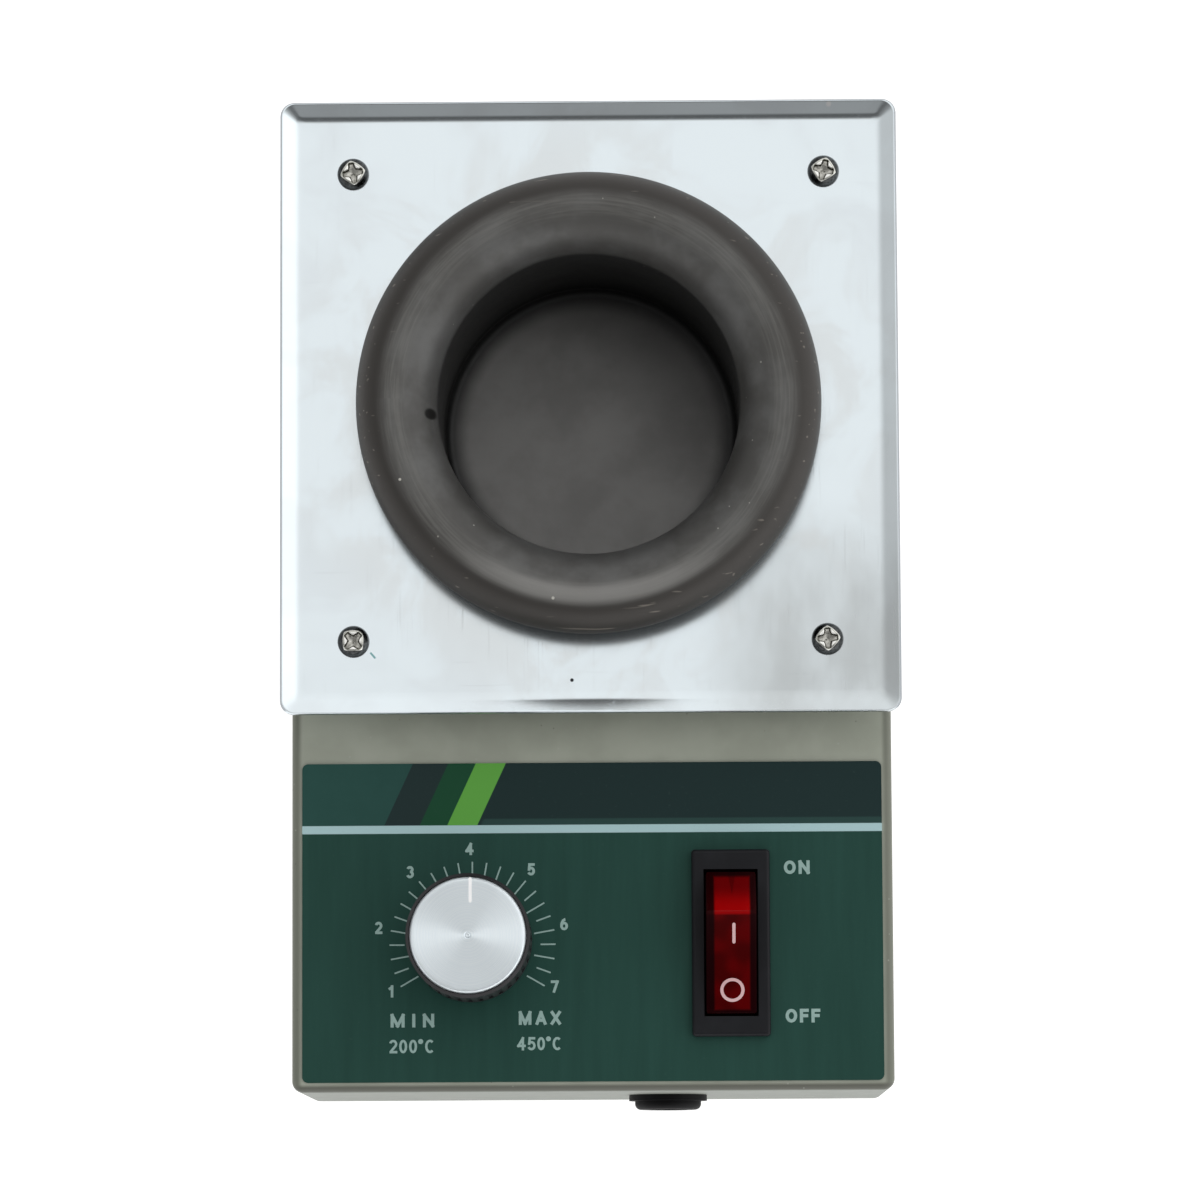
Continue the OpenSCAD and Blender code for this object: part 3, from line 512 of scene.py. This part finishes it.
def spun_aluminium():
    """Turned aluminium: fine circles round the middle make the light fan out from it."""
    f = Finish("spun_aluminium", metallic=1.0, anisotropic=1.0, anisotropic_rotation=0.25)
    radius = f.distance(KNOB_X, KNOB_Y)
    rings = f.noise(0.12, 2, 0.5, f.node("ShaderNodeCombineXYZ", None, {0: radius * MM}))
    base = f.mix(from_srgb(246, 253, 255), from_srgb(232, 242, 248), rings.step(0.3, 0.7))
    f.set(base_color=base, roughness=0.3 + 0.04 * f.noise(3, 3))
    f.bump(rings, 0.01, 1.0)
    return f


def plastic(name, colour, worn, roughness=0.42, grain=0.25, depth=0.012):
    """Moulded plastic with a fine grain, slight mottle, and a paler rub where the noise is high."""
    f = Finish(name, specular_ior_level=0.2)
    mottle = f.noise(5, 4)
    f.set(base_color=f.mix(colour, worn, mottle.step(0.45, 0.85) * 0.6),
          roughness=roughness + 0.12 * f.noise(2, 3))
    f.bump(f.noise(grain, 2), depth, 0.6)
    return f


def plated_steel(name, colour, dull, roughness=0.3):
    """Plated or plain steel with dull clouds and fine drawn lines."""
    f = Finish(name, metallic=1.0)
    cloud = f.noise(3, 4)
    drawn = f.noise(0.25, 2, 0.5, f.stretched(1, 1, 0.05))
    f.set(base_color=f.mix(colour, dull, cloud.step(0.35, 0.75)), roughness=roughness + 0.18 * cloud)
    f.bump(drawn, 0.006, 0.5)
    return f


def rocker_plastic():
    """Clear red plastic with the light through it painted in: a painted glow towards its ridge and on the end
    wall, a painted highlight along the ridge, painted shade near black along its sides and at both ends of
    the face, and a dark wedge in the end wall."""
    f = Finish("rocker_plastic", specular_ior_level=0.03)
    along = f.field("along")
    across = abs(f.x - PIVOT[0] - 0.15)
    patch = f.noise(4.0, 0)
    base = f.mix(from_srgb(82, 0, 2), from_srgb(62, 0, 1), patch.step(0.35, 0.65))
    # Painted glow, brighter towards the ridge.
    base = f.mix(base, from_srgb(150, 1, 3), along.between(0.92, 1.03, 0.03) * 0.8)
    # Painted glow on the end wall, brightest at the ridge and fading away from it.
    end_wall = f.mix(from_srgb(158, 1, 3), from_srgb(104, 0, 3), along.step(1.08, 1.36))
    vee = (0.6 * (along - 1.24) / 0.24 - across).step(-0.06, 0.1)
    end_wall = f.mix(end_wall, from_srgb(84, 0, 2), vee)
    base = f.mix(base, end_wall, along.step(1.02, 1.04))
    # Painted highlight along the ridge.
    base = f.mix(base, from_srgb(150, 62, 58), along.between(0.99, 1.01, 0.008) * 0.8)
    # Painted shade, near black, along the sides and at both ends.
    dark = across.step(2.7, 3.15).most(along.step(1.44, 1.49)).most((-along).step(0.9, 0.96))
    base = f.mix(base, from_srgb(20, 1, 3), dark * 0.96)
    f.set(base_color=base, roughness=0.3 + 0.1 * f.noise(2, 3))
    f.bump(f.noise(0.6, 2), 0.008, 0.4)
    return f


def fibre(name, colour, deep):
    """Pressed ceramic fibre: soft, matt and slightly fluffy."""
    f = Finish(name, roughness=0.95, specular_ior_level=0.2)
    strands = f.noise(0.7, 5, 0.7, f.stretched(1, 1, 0.3), twist=1.2)
    f.set(base_color=f.mix(deep, colour, strands.step(0.3, 0.7)))
    f.bump(strands, 0.15, 0.8)
    return f


def circuit_board():
    """Green laminate with the weave showing and darker copper runs."""
    f = Finish("board_green", specular_ior_level=0.5)
    runs = f.cells(6, f.stretched(1, 0.35, 1)).step(0.38, 0.46)
    weave = (f.x * 9.0).sine() * (f.y * 9.0).sine()
    base = f.mix(from_srgb(30, 92, 56), from_srgb(48, 116, 72), runs)
    f.set(base_color=f.mix(base, from_srgb(36, 100, 62), weave.step(-0.2, 0.9) * 0.4),
          roughness=0.35 + 0.1 * f.noise(3, 3))
    f.bump(runs * 0.7 + weave * 0.15, 0.03, 0.6)
    return f


# ---------------------------------------------------------------- crucible

POT_T = 1.6
WELL_R = 25.0
CREST_R = 32.8
CURL = 50
ROLL_R = POT_HIGH[0] - POT_MID[0] - CREST_R


def crucible_profile():
    """The wall's section: flat floor, small floor arc, straight well, quarter arc out to the crest, and an
    arc over it that turns back under at the edge. The outer face follows a wall's thickness away."""
    crest, flare, corner = POT_HIGH[2], CREST_R - WELL_R, 1.5
    brim_z, throat_z, floor_z = crest - ROLL_R, crest - flare, POT_LOW[2] + POT_T
    over, under = (CREST_R, brim_z), (CREST_R, throat_z)
    knee = (WELL_R - corner, floor_z + corner)
    edge_mid = arc(over, ROLL_R - POT_T / 2, -CURL, -CURL, 1)[0]
    return join([[0, floor_z - POT_T]], arc(knee, corner + POT_T, -90, 0, 12),
                arc(under, flare - POT_T, 180, 90, 28), arc(over, ROLL_R - POT_T, 90, -CURL, 30),
                arc(edge_mid, POT_T / 2, 180 - CURL, 360 - CURL, 12), arc(over, ROLL_R, -CURL, 90, 40),
                arc(under, flare, 90, 180, 40), [[WELL_R, (throat_z + floor_z) / 2]],
                arc(knee, corner, 0, -90, 10), [[0, floor_z]])


crucible = revolve("crucible_shell", crucible_profile(), POT_MID, turns=256)
crucible_coat().dress(crucible)
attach(crucible, "housing")
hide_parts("crucible")


# ---------------------------------------------------------------- drip tray

TRAY_T = 0.8
RIM_SLOPE = 20
RIM_FOLD = 4.5
RIM_H = TRAY_HIGH[2] - TRAY_LOW[2] - TRAY_T
HOLE_R = 28.6
EDGE_SOFT = 0.06
FLOOR_END = -1.5
RIM_CORNER = 2.4


def rim_profile():
    """The rim's section, x outwards from the end of the flat floor and z up from the tray's underside: floor,
    arc, slope and a softened cut edge, and the same a sheet's thickness below, back to the floor."""
    slope = math.radians(RIM_SLOPE)
    rise = RIM_H - RIM_FOLD * (1 - math.cos(slope))
    length = rise / math.sin(slope)
    mid = (0, TRAY_T + RIM_FOLD)
    up = np.array([math.cos(slope), math.sin(slope)])
    out = np.array([math.sin(slope), -math.cos(slope)])
    start_in = arc(mid, RIM_FOLD, RIM_SLOPE - 90, RIM_SLOPE - 90, 1)[0]
    end_in = start_in + up * length
    inner = [start_in + up * 0.08, end_in - up * 0.28, end_in - up * EDGE_SOFT, end_in + out * EDGE_SOFT]
    outer = [end_in + out * (TRAY_T - EDGE_SOFT), end_in + out * TRAY_T - up * EDGE_SOFT]
    return (join([[FLOOR_END, TRAY_T]], arc(mid, RIM_FOLD, -90, RIM_SLOPE - 90, 12), inner),
            join([outer[0]], [outer[1]], arc(mid, RIM_FOLD + TRAY_T, RIM_SLOPE - 90, -90, 12),
                 [[FLOOR_END, 0]]))


def drip_tray():
    """Rings about the tray's middle: each is a square with round corners, whose half width and height follow
    the rim's section and whose corner radius grows outwards; the innermost are circles round the pot."""
    top, under = rim_profile()
    reach = max(top[:, 0].max(), under[:, 0].max())
    flat = (TRAY_HIGH[0] - TRAY_LOW[0]) / 2 - reach
    corner_steps, side_steps = 12, 40

    def ring(x, z):
        radius = 0.9 + (RIM_CORNER - 0.9) * np.clip(x / reach, 0, 1) ** 1.5
        line = rounded_square(flat + x, radius, corner_steps, side_steps)
        return np.column_stack([line, np.full(len(line), z)])

    offset = np.array([0, POT_MID[1] - TRAY_MID[1], 0])
    edge = ring(FLOOR_END, 0)
    angle = np.arctan2(edge[:, 1] - offset[1], edge[:, 0])
    circle = np.column_stack([HOLE_R * np.cos(angle), HOLE_R * np.sin(angle), 0 * angle]) + offset
    floor = [circle * share + edge * (1 - share) for share in (1.0, 0.99, 0.66, 0.33)]
    rim = [ring(x, z) for x, z in np.vstack([top, under])]
    grid = np.array([line + [0, 0, TRAY_T] for line in floor] + rim + floor[::-1])
    grid = grid + [TRAY_MID[0], TRAY_MID[1], TRAY_LOW[2]]
    return surface("drip_tray_sheet", grid, close_rows=True, smooth_angle=50)


tray = drip_tray()
tray_steel().dress(tray)
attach(tray, "housing")
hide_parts("drip_tray")


# ---------------------------------------------------------------- tray screws

HEAD_R = 2.65
HEAD_H = 2.0
SCREW_PITCH = 78.6
SCREW_TURNS = {(-1, 1): 11, (1, 1): -14, (-1, -1): 45, (1, -1): 3}
DIAMOND_R = 1.93
DIAMOND_P = 1.28
ARM_R = 1.62
HOLLOW, CROSS_D, POINT_D = 0.3, 0.8, 0.25


def cross_form(u, v):
    """How the head is cut at (u, v) from its axis: how far out in the diamond |u|^p + |v|^p = 1, and how deep
    in the cross, whose arms narrow outwards."""
    far, near = np.maximum(abs(u), abs(v)), np.minimum(abs(u), abs(v))
    out = (abs(u) ** DIAMOND_P + abs(v) ** DIAMOND_P) ** (1 / DIAMOND_P) / DIAMOND_R
    arm = 0.42 + 0.5 * np.clip(1 - far / ARM_R, 0, 1) ** 2
    deep = np.clip((arm - near) / 0.22 + 0.5, 0, 1) * np.clip((ARM_R - far) / 0.25 + 0.5, 0, 1)
    return out, deep


def screw_head(x, y, z, turn, shank_z):
    """A pan head as circles about its axis, z = top (1 - (r / R)^4)^1/2, then the shank. Inside the diamond
    it hollows a little, and the cross is sunk into it. Its points carry both forms as fields."""
    angle = np.linspace(0, TAU, 96, endpoint=False)
    r = np.concatenate([np.linspace(0, 2.1, 43), HEAD_R * np.sin(np.linspace(0.98, math.pi / 2, 10)),
                        [HEAD_R, 1.5, 1.5, 0]])
    height = 0.1 + (HEAD_H - 0.1) * np.sqrt(np.clip(1 - (r / HEAD_R) ** 4, 0, 1))
    height[-4:] = [0.02, 0.0, shank_z, shank_z]
    rr, aa = np.meshgrid(r, angle, indexing="ij")
    u, v = rr * np.cos(aa), rr * np.sin(aa)
    out, deep = cross_form(u, v)
    sunk = HOLLOW * np.clip(1 - out, 0, 1) + CROSS_D * deep + POINT_D * np.clip(1 - rr / 0.8, 0, 1)
    sunk[-4:] = 0
    c, s = math.cos(math.radians(turn)), math.sin(math.radians(turn))
    grid = np.stack([x + u * c - v * s, y + u * s + v * c, z + height[:, None] - sunk], axis=2)
    made = surface("screw", grid, smooth_angle=60)
    dx, dy, up = (places(made) - (x, y, z)).T
    out, deep = cross_form(dx * c + dy * s, dy * c - dx * s)
    head = up > 0.05
    carry(made, "out", np.where(head, out, 2.0))
    carry(made, "deep", np.where(head, deep, 0.0))
    return made


screw_low, _ = box_mm("tray_screws")
seat_z = TRAY_LOW[2] + TRAY_T
screws = merged("tray_screw_set", [
    screw_head(sx * SCREW_PITCH / 2, TRAY_MID[1] + sy * SCREW_PITCH / 2, seat_z, turn,
               screw_low[2] - seat_z) for (sx, sy), turn in SCREW_TURNS.items()])
screw_plating().dress(screws)
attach(screws, "housing")
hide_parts("tray_screws")


# ---------------------------------------------------------------- knob cap

CAP_BEVEL = 0.45
POINTER = (0.52, 4.2)
POINTER_ASIDE = 0.45
cap_low, cap_high = box_mm("knob_cap")
cap_r = (cap_high[0] - cap_low[0]) / 2


def knob_cap():
    """Disc with a bevelled edge and a small ring-shaped dimple in its middle."""
    top, low = cap_high[2], cap_low[2]
    profile = join([[0, low], [cap_r - 0.1, low], [cap_r, low + 0.1]],
                   [[cap_r, top - CAP_BEVEL], [cap_r - CAP_BEVEL * 0.92, top - 0.03],
                    [cap_r - CAP_BEVEL * 1.1, top]],
                   [[k, top] for k in np.linspace(cap_r - 0.9, 1.2, 10)],
                   [[0.62, top], [0.45, top - 0.16], [0.25, top - 0.08], [0, top - 0.2]])
    return revolve("knob_cap_disc", profile, (KNOB_X, KNOB_Y), turns=192, smooth_angle=25)


cap = knob_cap()
spun_aluminium().dress(cap)
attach(cap, "knob")
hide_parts("knob_cap")


def rounded_bar(width, length, steps=10):
    """Outline of a bar with round ends, its length along Y."""
    half = length / 2 - width / 2
    return join(arc((0, half), width / 2, 0, 180, steps), arc((0, -half), width / 2, 180, 360, steps))


def plate_from(name, outline, z, thick=0.03):
    """A thin flat piece with this outline: its middle, the outline above, the outline below, its middle."""
    centre = outline.mean(axis=0)
    rows = [np.column_stack([centre + (outline - centre) * k, np.full(len(outline), h)])
            for k, h in ((0, z + thick), (1, z + thick), (1, z), (0, z))]
    return surface(name, np.array(rows), smooth_angle=30)


pointer = plate_from("knob_pointer_paint", rounded_bar(*POINTER, 4) + [
    KNOB_X + POINTER_ASIDE, KNOB_Y + cap_r - POINTER[1] / 2 - 0.1], cap_high[2] - 0.01, 0.035)
plastic("pointer_paint", from_srgb(254, 254, 254), from_srgb(240, 242, 242), 0.45).dress(pointer)
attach(pointer, "knob")


# ---------------------------------------------------------------- rocker

FACE = 17.8
RISE = 9.9
TILT = math.radians(20)
WALL = (4.15, 8.26)
DISH = 0.8
ROCKER_W = 8.3


def dished(y):
    """Height of the dished face over the pivot, at y along it: an arc that sinks by DISH in the middle."""
    radius = ((FACE / 2) ** 2 + DISH ** 2) / (2 * DISH)
    return RISE + radius - DISH - np.sqrt(radius ** 2 - y ** 2)


def rocker_outline():
    """Section of the rocker across its pivot, at no tilt, as (y, z) from the pivot: a dished face, rounded
    ridges, straight end walls and a flat foot."""
    half, soft = FACE / 2, 0.28
    y = np.linspace(-half + soft, half - soft, 41)
    face = np.column_stack([y, dished(y)])
    foot_y, foot_z = half + WALL[0], RISE - WALL[1]
    wall_way = np.array([WALL[0], -WALL[1]]) / math.hypot(*WALL)
    down = np.array([0.12, 0.4, 2.0, 4.0, 6.0, 8.0])[:, None]
    right = np.array([[half, RISE - 0.1]]) + wall_way * down
    ridge = np.array([[half - 0.12, RISE + 0.0], [half - 0.02, RISE - 0.05]])
    right = np.vstack([ridge, right, [[foot_y, foot_z], [5.0, -2.4]]])
    return np.vstack([face, right, right[::-1] * [-1, 1]])


def tilted(points):
    """(x, y, z) from the pivot, turned by the rocker's rest tilt and set at the pivot."""
    c, s = math.cos(TILT), math.sin(TILT)
    x, y, z = points[..., 0], points[..., 1], points[..., 2]
    return np.stack([PIVOT[0] + x, PIVOT[1] + y * c - z * s, PIVOT[2] + y * s + z * c], axis=-1)


def rocker_body():
    """The section carried across the width; near each side it shrinks a little, which rounds the edge, and
    closes on its middle."""
    section = rocker_outline()
    centre, reach = np.array([0.0, 4.0]), 9.0
    half, soft, near = ROCKER_W / 2, 0.3, 0.09
    steps = [(-half, 0), (-half, 1 - soft / reach), (-half + near, 1 - near / reach), (-half + soft, 1)]
    steps += [(x, 1) for x in (-2, 0, 2)] + [(-x, k) for x, k in steps[::-1]]
    rows = [np.column_stack([np.full(len(section), x), centre + (section - centre) * k]) for x, k in steps]
    return surface("rocker_lens", tilted(np.array(rows)), smooth_angle=35)


def mark_surface(name, rows):
    """A thin mark laid on the dished face: rows of (x, y) points, given the face's height and a skin."""
    flat = np.array(rows)
    face = dished(flat[..., 1:])
    top, low = (np.concatenate([flat, face + lift], axis=-1) for lift in (0.035, -0.03))
    return surface(name, tilted(np.concatenate([top, low[::-1]])), close_rows=True, smooth_angle=40)


rocker = rocker_body()
at = places(rocker) - PIVOT
face_y = at[:, 1] * math.cos(TILT) + at[:, 2] * math.sin(TILT)
carry(rocker, "along", face_y / (FACE / 2) + 0.06 * np.sign(face_y) * (abs(face_y) > FACE / 2 - 0.05))
rocker_plastic().dress(rocker)
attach(rocker, "rocker")
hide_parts("rocker")

BAR_X, BAR_Y, RING_X, RING_Y, RING_R, STROKE = 0.43, 4.8, 0.15, -5.0, 2.0, 0.52
bar = rounded_bar(STROKE, 3.7, 8)
bar_mark = mark_surface("on_mark", [bar * k + [BAR_X, BAR_Y] for k in (1.0, 0.5, 0.02)])
turn = np.linspace(0, TAU, 64, endpoint=False)
circle = np.column_stack([np.cos(turn), np.sin(turn)])
ring_mark = mark_surface("off_mark", [circle * k + [RING_X, RING_Y]
                                      for k in (RING_R, RING_R - STROKE / 2, RING_R - STROKE)])
marks = merged("rocker_marks", [bar_mark, ring_mark])
plastic("mark_ink", from_srgb(214, 178, 180), from_srgb(190, 140, 142), 0.5).dress(marks)
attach(marks, "rocker")


# ---------------------------------------------------------------- panel lettering

INK_T = 0.012
PRINT_Y = KNOB_Y - 0.3
DIAL = (KNOB_X + 0.27, PRINT_Y - 0.33)


# The middle lines of the letters' strokes, with a letter's height as 1.
LETTERS = {
    "I": [[(0, 0), (0, 1)]],
    "N": [[(0, 0), (0, 1)], [(0, 1), (0.6, 0)], [(0.6, 0), (0.6, 1)]],
    "M": [[(0, 0), (0, 1)], [(0, 1), (0.4, 0)], [(0.4, 0), (0.8, 1)], [(0.8, 0), (0.8, 1)]],
    "A": [[(0, 0), (0.33, 1)], [(0.33, 1), (0.66, 0)], [(0.12, 0.28), (0.54, 0.28)]],
    "X": [[(0, 0), (0.6, 1)], [(0, 1), (0.6, 0)]],
    "F": [[(0, 0), (0, 1)], [(0, 1), (0.45, 1)], [(0, 0.5), (0.4, 0.5)]],
    "O": [arc((0.33, 0.5), (0.33, 0.5), 0, 360)],
    "C": [arc((0.33, 0.5), (0.33, 0.5), 48, 312)],
    "°": [arc((0.05, 0.94), (0.12, 0.12), 0, 360)],
    "0": [arc((0.25, 0.5), (0.25, 0.5), 0, 360)],
    "1": [[(0.22, 0), (0.22, 1)], [(0, 0.78), (0.16, 0.9)]],
    "2": [np.vstack([arc((0.26, 0.72), (0.26, 0.28), 165, -40), [(0.04, 0.04)]]), [(0.04, 0), (0.52, 0)]],
    "3": [arc((0.25, 0.76), (0.24, 0.24), 160, -90), arc((0.25, 0.27), (0.27, 0.27), 90, -160)],
    "4": [[(0.42, 0), (0.42, 1)], [(0.42, 1), (0, 0.3)], [(0, 0.3), (0.58, 0.3)]],
    "5": [[(0.1, 1), (0.5, 1)], [(0.1, 1), (0.05, 0.5)], arc((0.25, 0.32), (0.28, 0.32), 140, -155)],
    "6": [arc((0.27, 0.31), (0.27, 0.31), 0, 360), arc((0.44, 0.36), (0.44, 0.64), 178, 95)],
    "7": [[(0, 1), (0.54, 1)], [(0.54, 1), (0.2, 0)]]}


def stroke(points, width, z):
    """A run of ink along these points: its sides lie half a width to the left and right of them. A straight
    one is lengthened by half a width at each end, and one that ends where it starts is closed."""
    closed = np.allclose(points[0], points[-1])
    ahead = (np.roll(points[:-1], -1, axis=0) - np.roll(points[:-1], 1, axis=0)) if closed else \
        np.gradient(points, axis=0)
    ahead = ahead / np.linalg.norm(ahead, axis=1)[:, None] * width / 2
    run = points[:-1] if closed else points
    if len(run) == 2:
        run = run + ahead * [[-1], [1]]
    aside = ahead[:, ::-1] * [1, -1]
    high, low = np.full((len(run), 1), z + INK_T), np.full((len(run), 1), z)
    rows = np.stack([np.hstack([run + aside, high]), np.hstack([run - aside, high]),
                     np.hstack([run - aside, low]), np.hstack([run + aside, low])])
    if not closed:
        rows = np.concatenate([rows[:, :1] * 0 + rows[:, 0].mean(axis=0), rows,
                               rows[:, -1:] * 0 + rows[:, -1].mean(axis=0)], axis=1)
    return surface("stroke", rows, close_rows=True, close_columns=closed, smooth_angle=30)


def word(text, x, y, height, line, width=None, gap=0.4):
    """The strokes of a word whose middle is at x, y, with lines of this width, fitted to a height and, if
    given, a width. Each stroke lies a hair above the one before it."""
    runs, reach = [], 0.0
    for letter in text:
        shapes = [np.array(run, float) for run in LETTERS[letter]]
        runs += [run + [reach, 0] for run in shapes]
        reach += max(run[:, 0].max() for run in shapes) + gap
    reach -= gap
    tall = height - line
    scale = np.array([(width - line) / reach if width else tall, tall])
    return [stroke((run - [reach / 2, 0.5]) * scale + [x, y], line, PANEL_Z + 0.004 + 0.001 * number)
            for number, run in enumerate(runs)]


def tick(angle, inner, outer, width):
    """A short line on the panel, pointing at the knob's axis."""
    way = np.array([math.sin(math.radians(angle)), math.cos(math.radians(angle))])
    side = np.array([way[1], -way[0]]) * width / 2
    a, b = way * inner, way * outer
    return plate_from("tick", np.array([a - side, a + side, b + side, b - side]) + DIAL,
                      PANEL_Z + 0.004, 0.014)


DIGITS = [("1", -13.3, -8.0), ("2", -15.35, 2.55), ("3", -10.1, 11.8), ("4", -0.2, 15.6),
          ("5", 10.05, 12.15), ("6", 15.5, 3.0), ("7", 13.9, -7.35)]
CAPTIONS = [("MIN", -9.75, -12.87, 2.26, 0.52, 7.25, 0.78), ("MAX", 11.4, -12.54, 2.28, 0.52, 7.0, 0.6),
            ("200°C", -9.93, -17.15, 2.24, 0.4, 7.4, 0.38), ("450°C", 11.25, -16.8, 2.2, 0.4, 7.26, 0.38)]
inks = [ink for text, dx, dy in DIGITS for ink in word(text, KNOB_X + dx, PRINT_Y + dy, 2.04, 0.44)]
inks += [ink for text, dx, dy, high, line, wide, gap in CAPTIONS
         for ink in word(text, KNOB_X + dx, PRINT_Y + dy, high, line, wide, gap)]
inks += word("ON", PIVOT[0] + 11.03, PIVOT[1] + 12.55, 2.26, 0.54, 4.3, 0.46)
inks += word("OFF", PIVOT[0] + 11.85, PIVOT[1] - 12.1, 2.28, 0.54, 5.77, 0.46)
LONG_TICK, SHORT_TICK, TICK_END, TICK_W = 10.4, 11.3, 13.8, 0.25
inks += [tick(angle, LONG_TICK if angle % 20 == 0 else SHORT_TICK, TICK_END, TICK_W)
         for angle in range(-120, 121, 10)]
lettering = merged("panel_lettering", inks)
panel_ink().dress(lettering)
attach(lettering, "housing")


# ---------------------------------------------------------------- finishes of the CAD nodes

case_paint().dress("case_shell", "base_plate")
panel_print().dress("control_label")
plastic("knob_plastic", from_srgb(36, 36, 38), from_srgb(58, 58, 61), 0.34).dress("knob_body")
plastic("switch_plastic", from_srgb(20, 21, 25), from_srgb(32, 33, 37), 0.4).dress("switch_housing")
plastic("bushing_plastic", from_srgb(3, 3, 5), from_srgb(12, 12, 15), 0.55).dress("cable_bushing")
plastic("foot_rubber", from_srgb(26, 26, 27), from_srgb(48, 47, 45), 0.75, 0.5, 0.05).dress(
    "foot_front_left", "foot_front_right", "foot_back_left", "foot_back_right")
plated_steel("screw_zinc", from_srgb(205, 207, 205), from_srgb(150, 152, 150)).dress(
    "base_screws", "foot_screws", "tray_nuts", "tray_spacers", "band_screw", "band_nut", "board_screws",
    "bushing_nut", "bushing_washer", "control_shaft")
plated_steel("heater_steel", from_srgb(176, 170, 158), from_srgb(118, 108, 98), 0.38).dress(
    "heater_band", "heat_shield")
plated_steel("control_tin", from_srgb(170, 172, 174), from_srgb(120, 121, 124), 0.35).dress("potentiometer")
plated_steel("brass_plate", from_srgb(205, 175, 105), from_srgb(160, 130, 76), 0.28).dress(
    "switch_terminals", "board_standoffs", "earth_stud", "earth_nut")
plated_steel("sink_anodised", from_srgb(46, 47, 49), from_srgb(30, 31, 33), 0.45).dress("heat_sink")
fibre("ceramic_fibre", from_srgb(232, 226, 210), from_srgb(196, 186, 164)).dress(
    "insulation_pad", "heater_sleeve")
circuit_board().dress("control_board")
plastic("triac_epoxy", from_srgb(34, 34, 36), from_srgb(58, 58, 60), 0.55).dress("triac")
plastic("capacitor_film", from_srgb(176, 66, 42), from_srgb(196, 92, 62), 0.3).dress("capacitor")
plastic("block_nylon", from_srgb(44, 122, 82), from_srgb(62, 140, 98), 0.42).dress("terminal_block")


# ---------------------------------------------------------------- floor, light and camera

def stage_floor():
    """A large pale floor whose own faint glow keeps it even under the object."""
    half = 3.0
    mesh = bpy.data.meshes.new("floor")
    mesh.from_pydata([(-half, -half, 0), (half, -half, 0), (half, half, 0), (-half, half, 0)], [],
                     [(0, 1, 2, 3)])
    floor = linked("floor", mesh)
    f = Finish("floor_paper", roughness=0.9, specular_ior_level=0.1, emission_strength=0.85,
               emission_color=(1, 1, 1))
    f.set(base_color=f.mix((0.50, 0.50, 0.50), (0.52, 0.52, 0.52), f.noise(60, 3)))
    f.dress(floor)


ROOM_TOP, ROOM_RIGHT, ROOM_LEFT, ROOM_BACK = 0.96, 0.32, 0.36, 0.05
ROOM_DARK, ROOM_NEAR, ROOM_KEY = 0.64, 0.72, 0.55


def studio():
    """A white room seen by the object alone: brightest on the right and behind, duller on the left, and dark
    from just in front of overhead down to the front. The camera sees it plain white."""
    world = bpy.data.worlds.new("room")
    world.use_nodes = True
    bpy.context.scene.world = world
    room = Nodes(world.node_tree)
    x, y, z = room.parts(room.node("ShaderNodeTexCoord", out="Generated"))
    right, left = x.step(0.1, 0.6), (-x).step(0.1, 0.6)
    front, behind, high = (-y).step(-0.02, 0.2), y.step(0.2, 0.8), z.step(0.5, 0.68)
    level = ROOM_TOP + ROOM_RIGHT * right - ROOM_LEFT * left + ROOM_BACK * behind
    level = (level - ROOM_DARK * front * high + ROOM_KEY * front * (1.0 - high)).most(0.3)
    near = (-y).between(0.02, 0.4, 0.05) * z.step(0.84, 0.9) * (1.0 - abs(x).step(0.2, 0.5))
    level = level * (1.0 - ROOM_NEAR * near)
    shade = room.node("ShaderNodeCombineColor", inputs={0: level, 1: level, 2: level})
    seen = room.node("ShaderNodeLightPath", out="Is Camera Ray")
    sky = room.node("ShaderNodeMix", {"data_type": "RGBA"}, {0: seen, 6: shade, 7: (1, 1, 1, 1)}, out=2)
    room.tree.links.new(sky.socket, room.tree.nodes["Background"].inputs[0])


CAMERA_TURN = (0.36, -0.58, -6.37)
CAMERA_OFFSET = Vector((-1.7, 31.5, -1006.9)) * MM


def camera():
    """The camera stands almost above the tray, leaning a little to the front: the turn is worked out as a
    world-to-camera matrix about the tray's middle on the deck."""
    roll, tip, lean = (math.radians(k) for k in CAMERA_TURN)
    turn = (Euler((0, 0, roll)).to_matrix() @ Euler((0, tip, 0)).to_matrix()
            @ Euler((lean, 0, 0)).to_matrix())
    lens = bpy.data.cameras.new("camera")
    lens.lens, lens.sensor_width, lens.clip_start, lens.clip_end = 180, 36, 0.05, 20
    holder = linked("camera", lens)
    back = turn.transposed()
    place = Vector((TRAY_MID[0], TRAY_MID[1], DECK_Z)) * MM - back @ CAMERA_OFFSET
    holder.matrix_world = Matrix.Translation(place) @ back.to_4x4()
    bpy.context.scene.camera = holder


stage_floor()
studio()
camera()
view = bpy.context.scene.view_settings
view.view_transform, view.look, view.exposure = "Standard", "None", 0.0

bpy.context.view_layer.update()
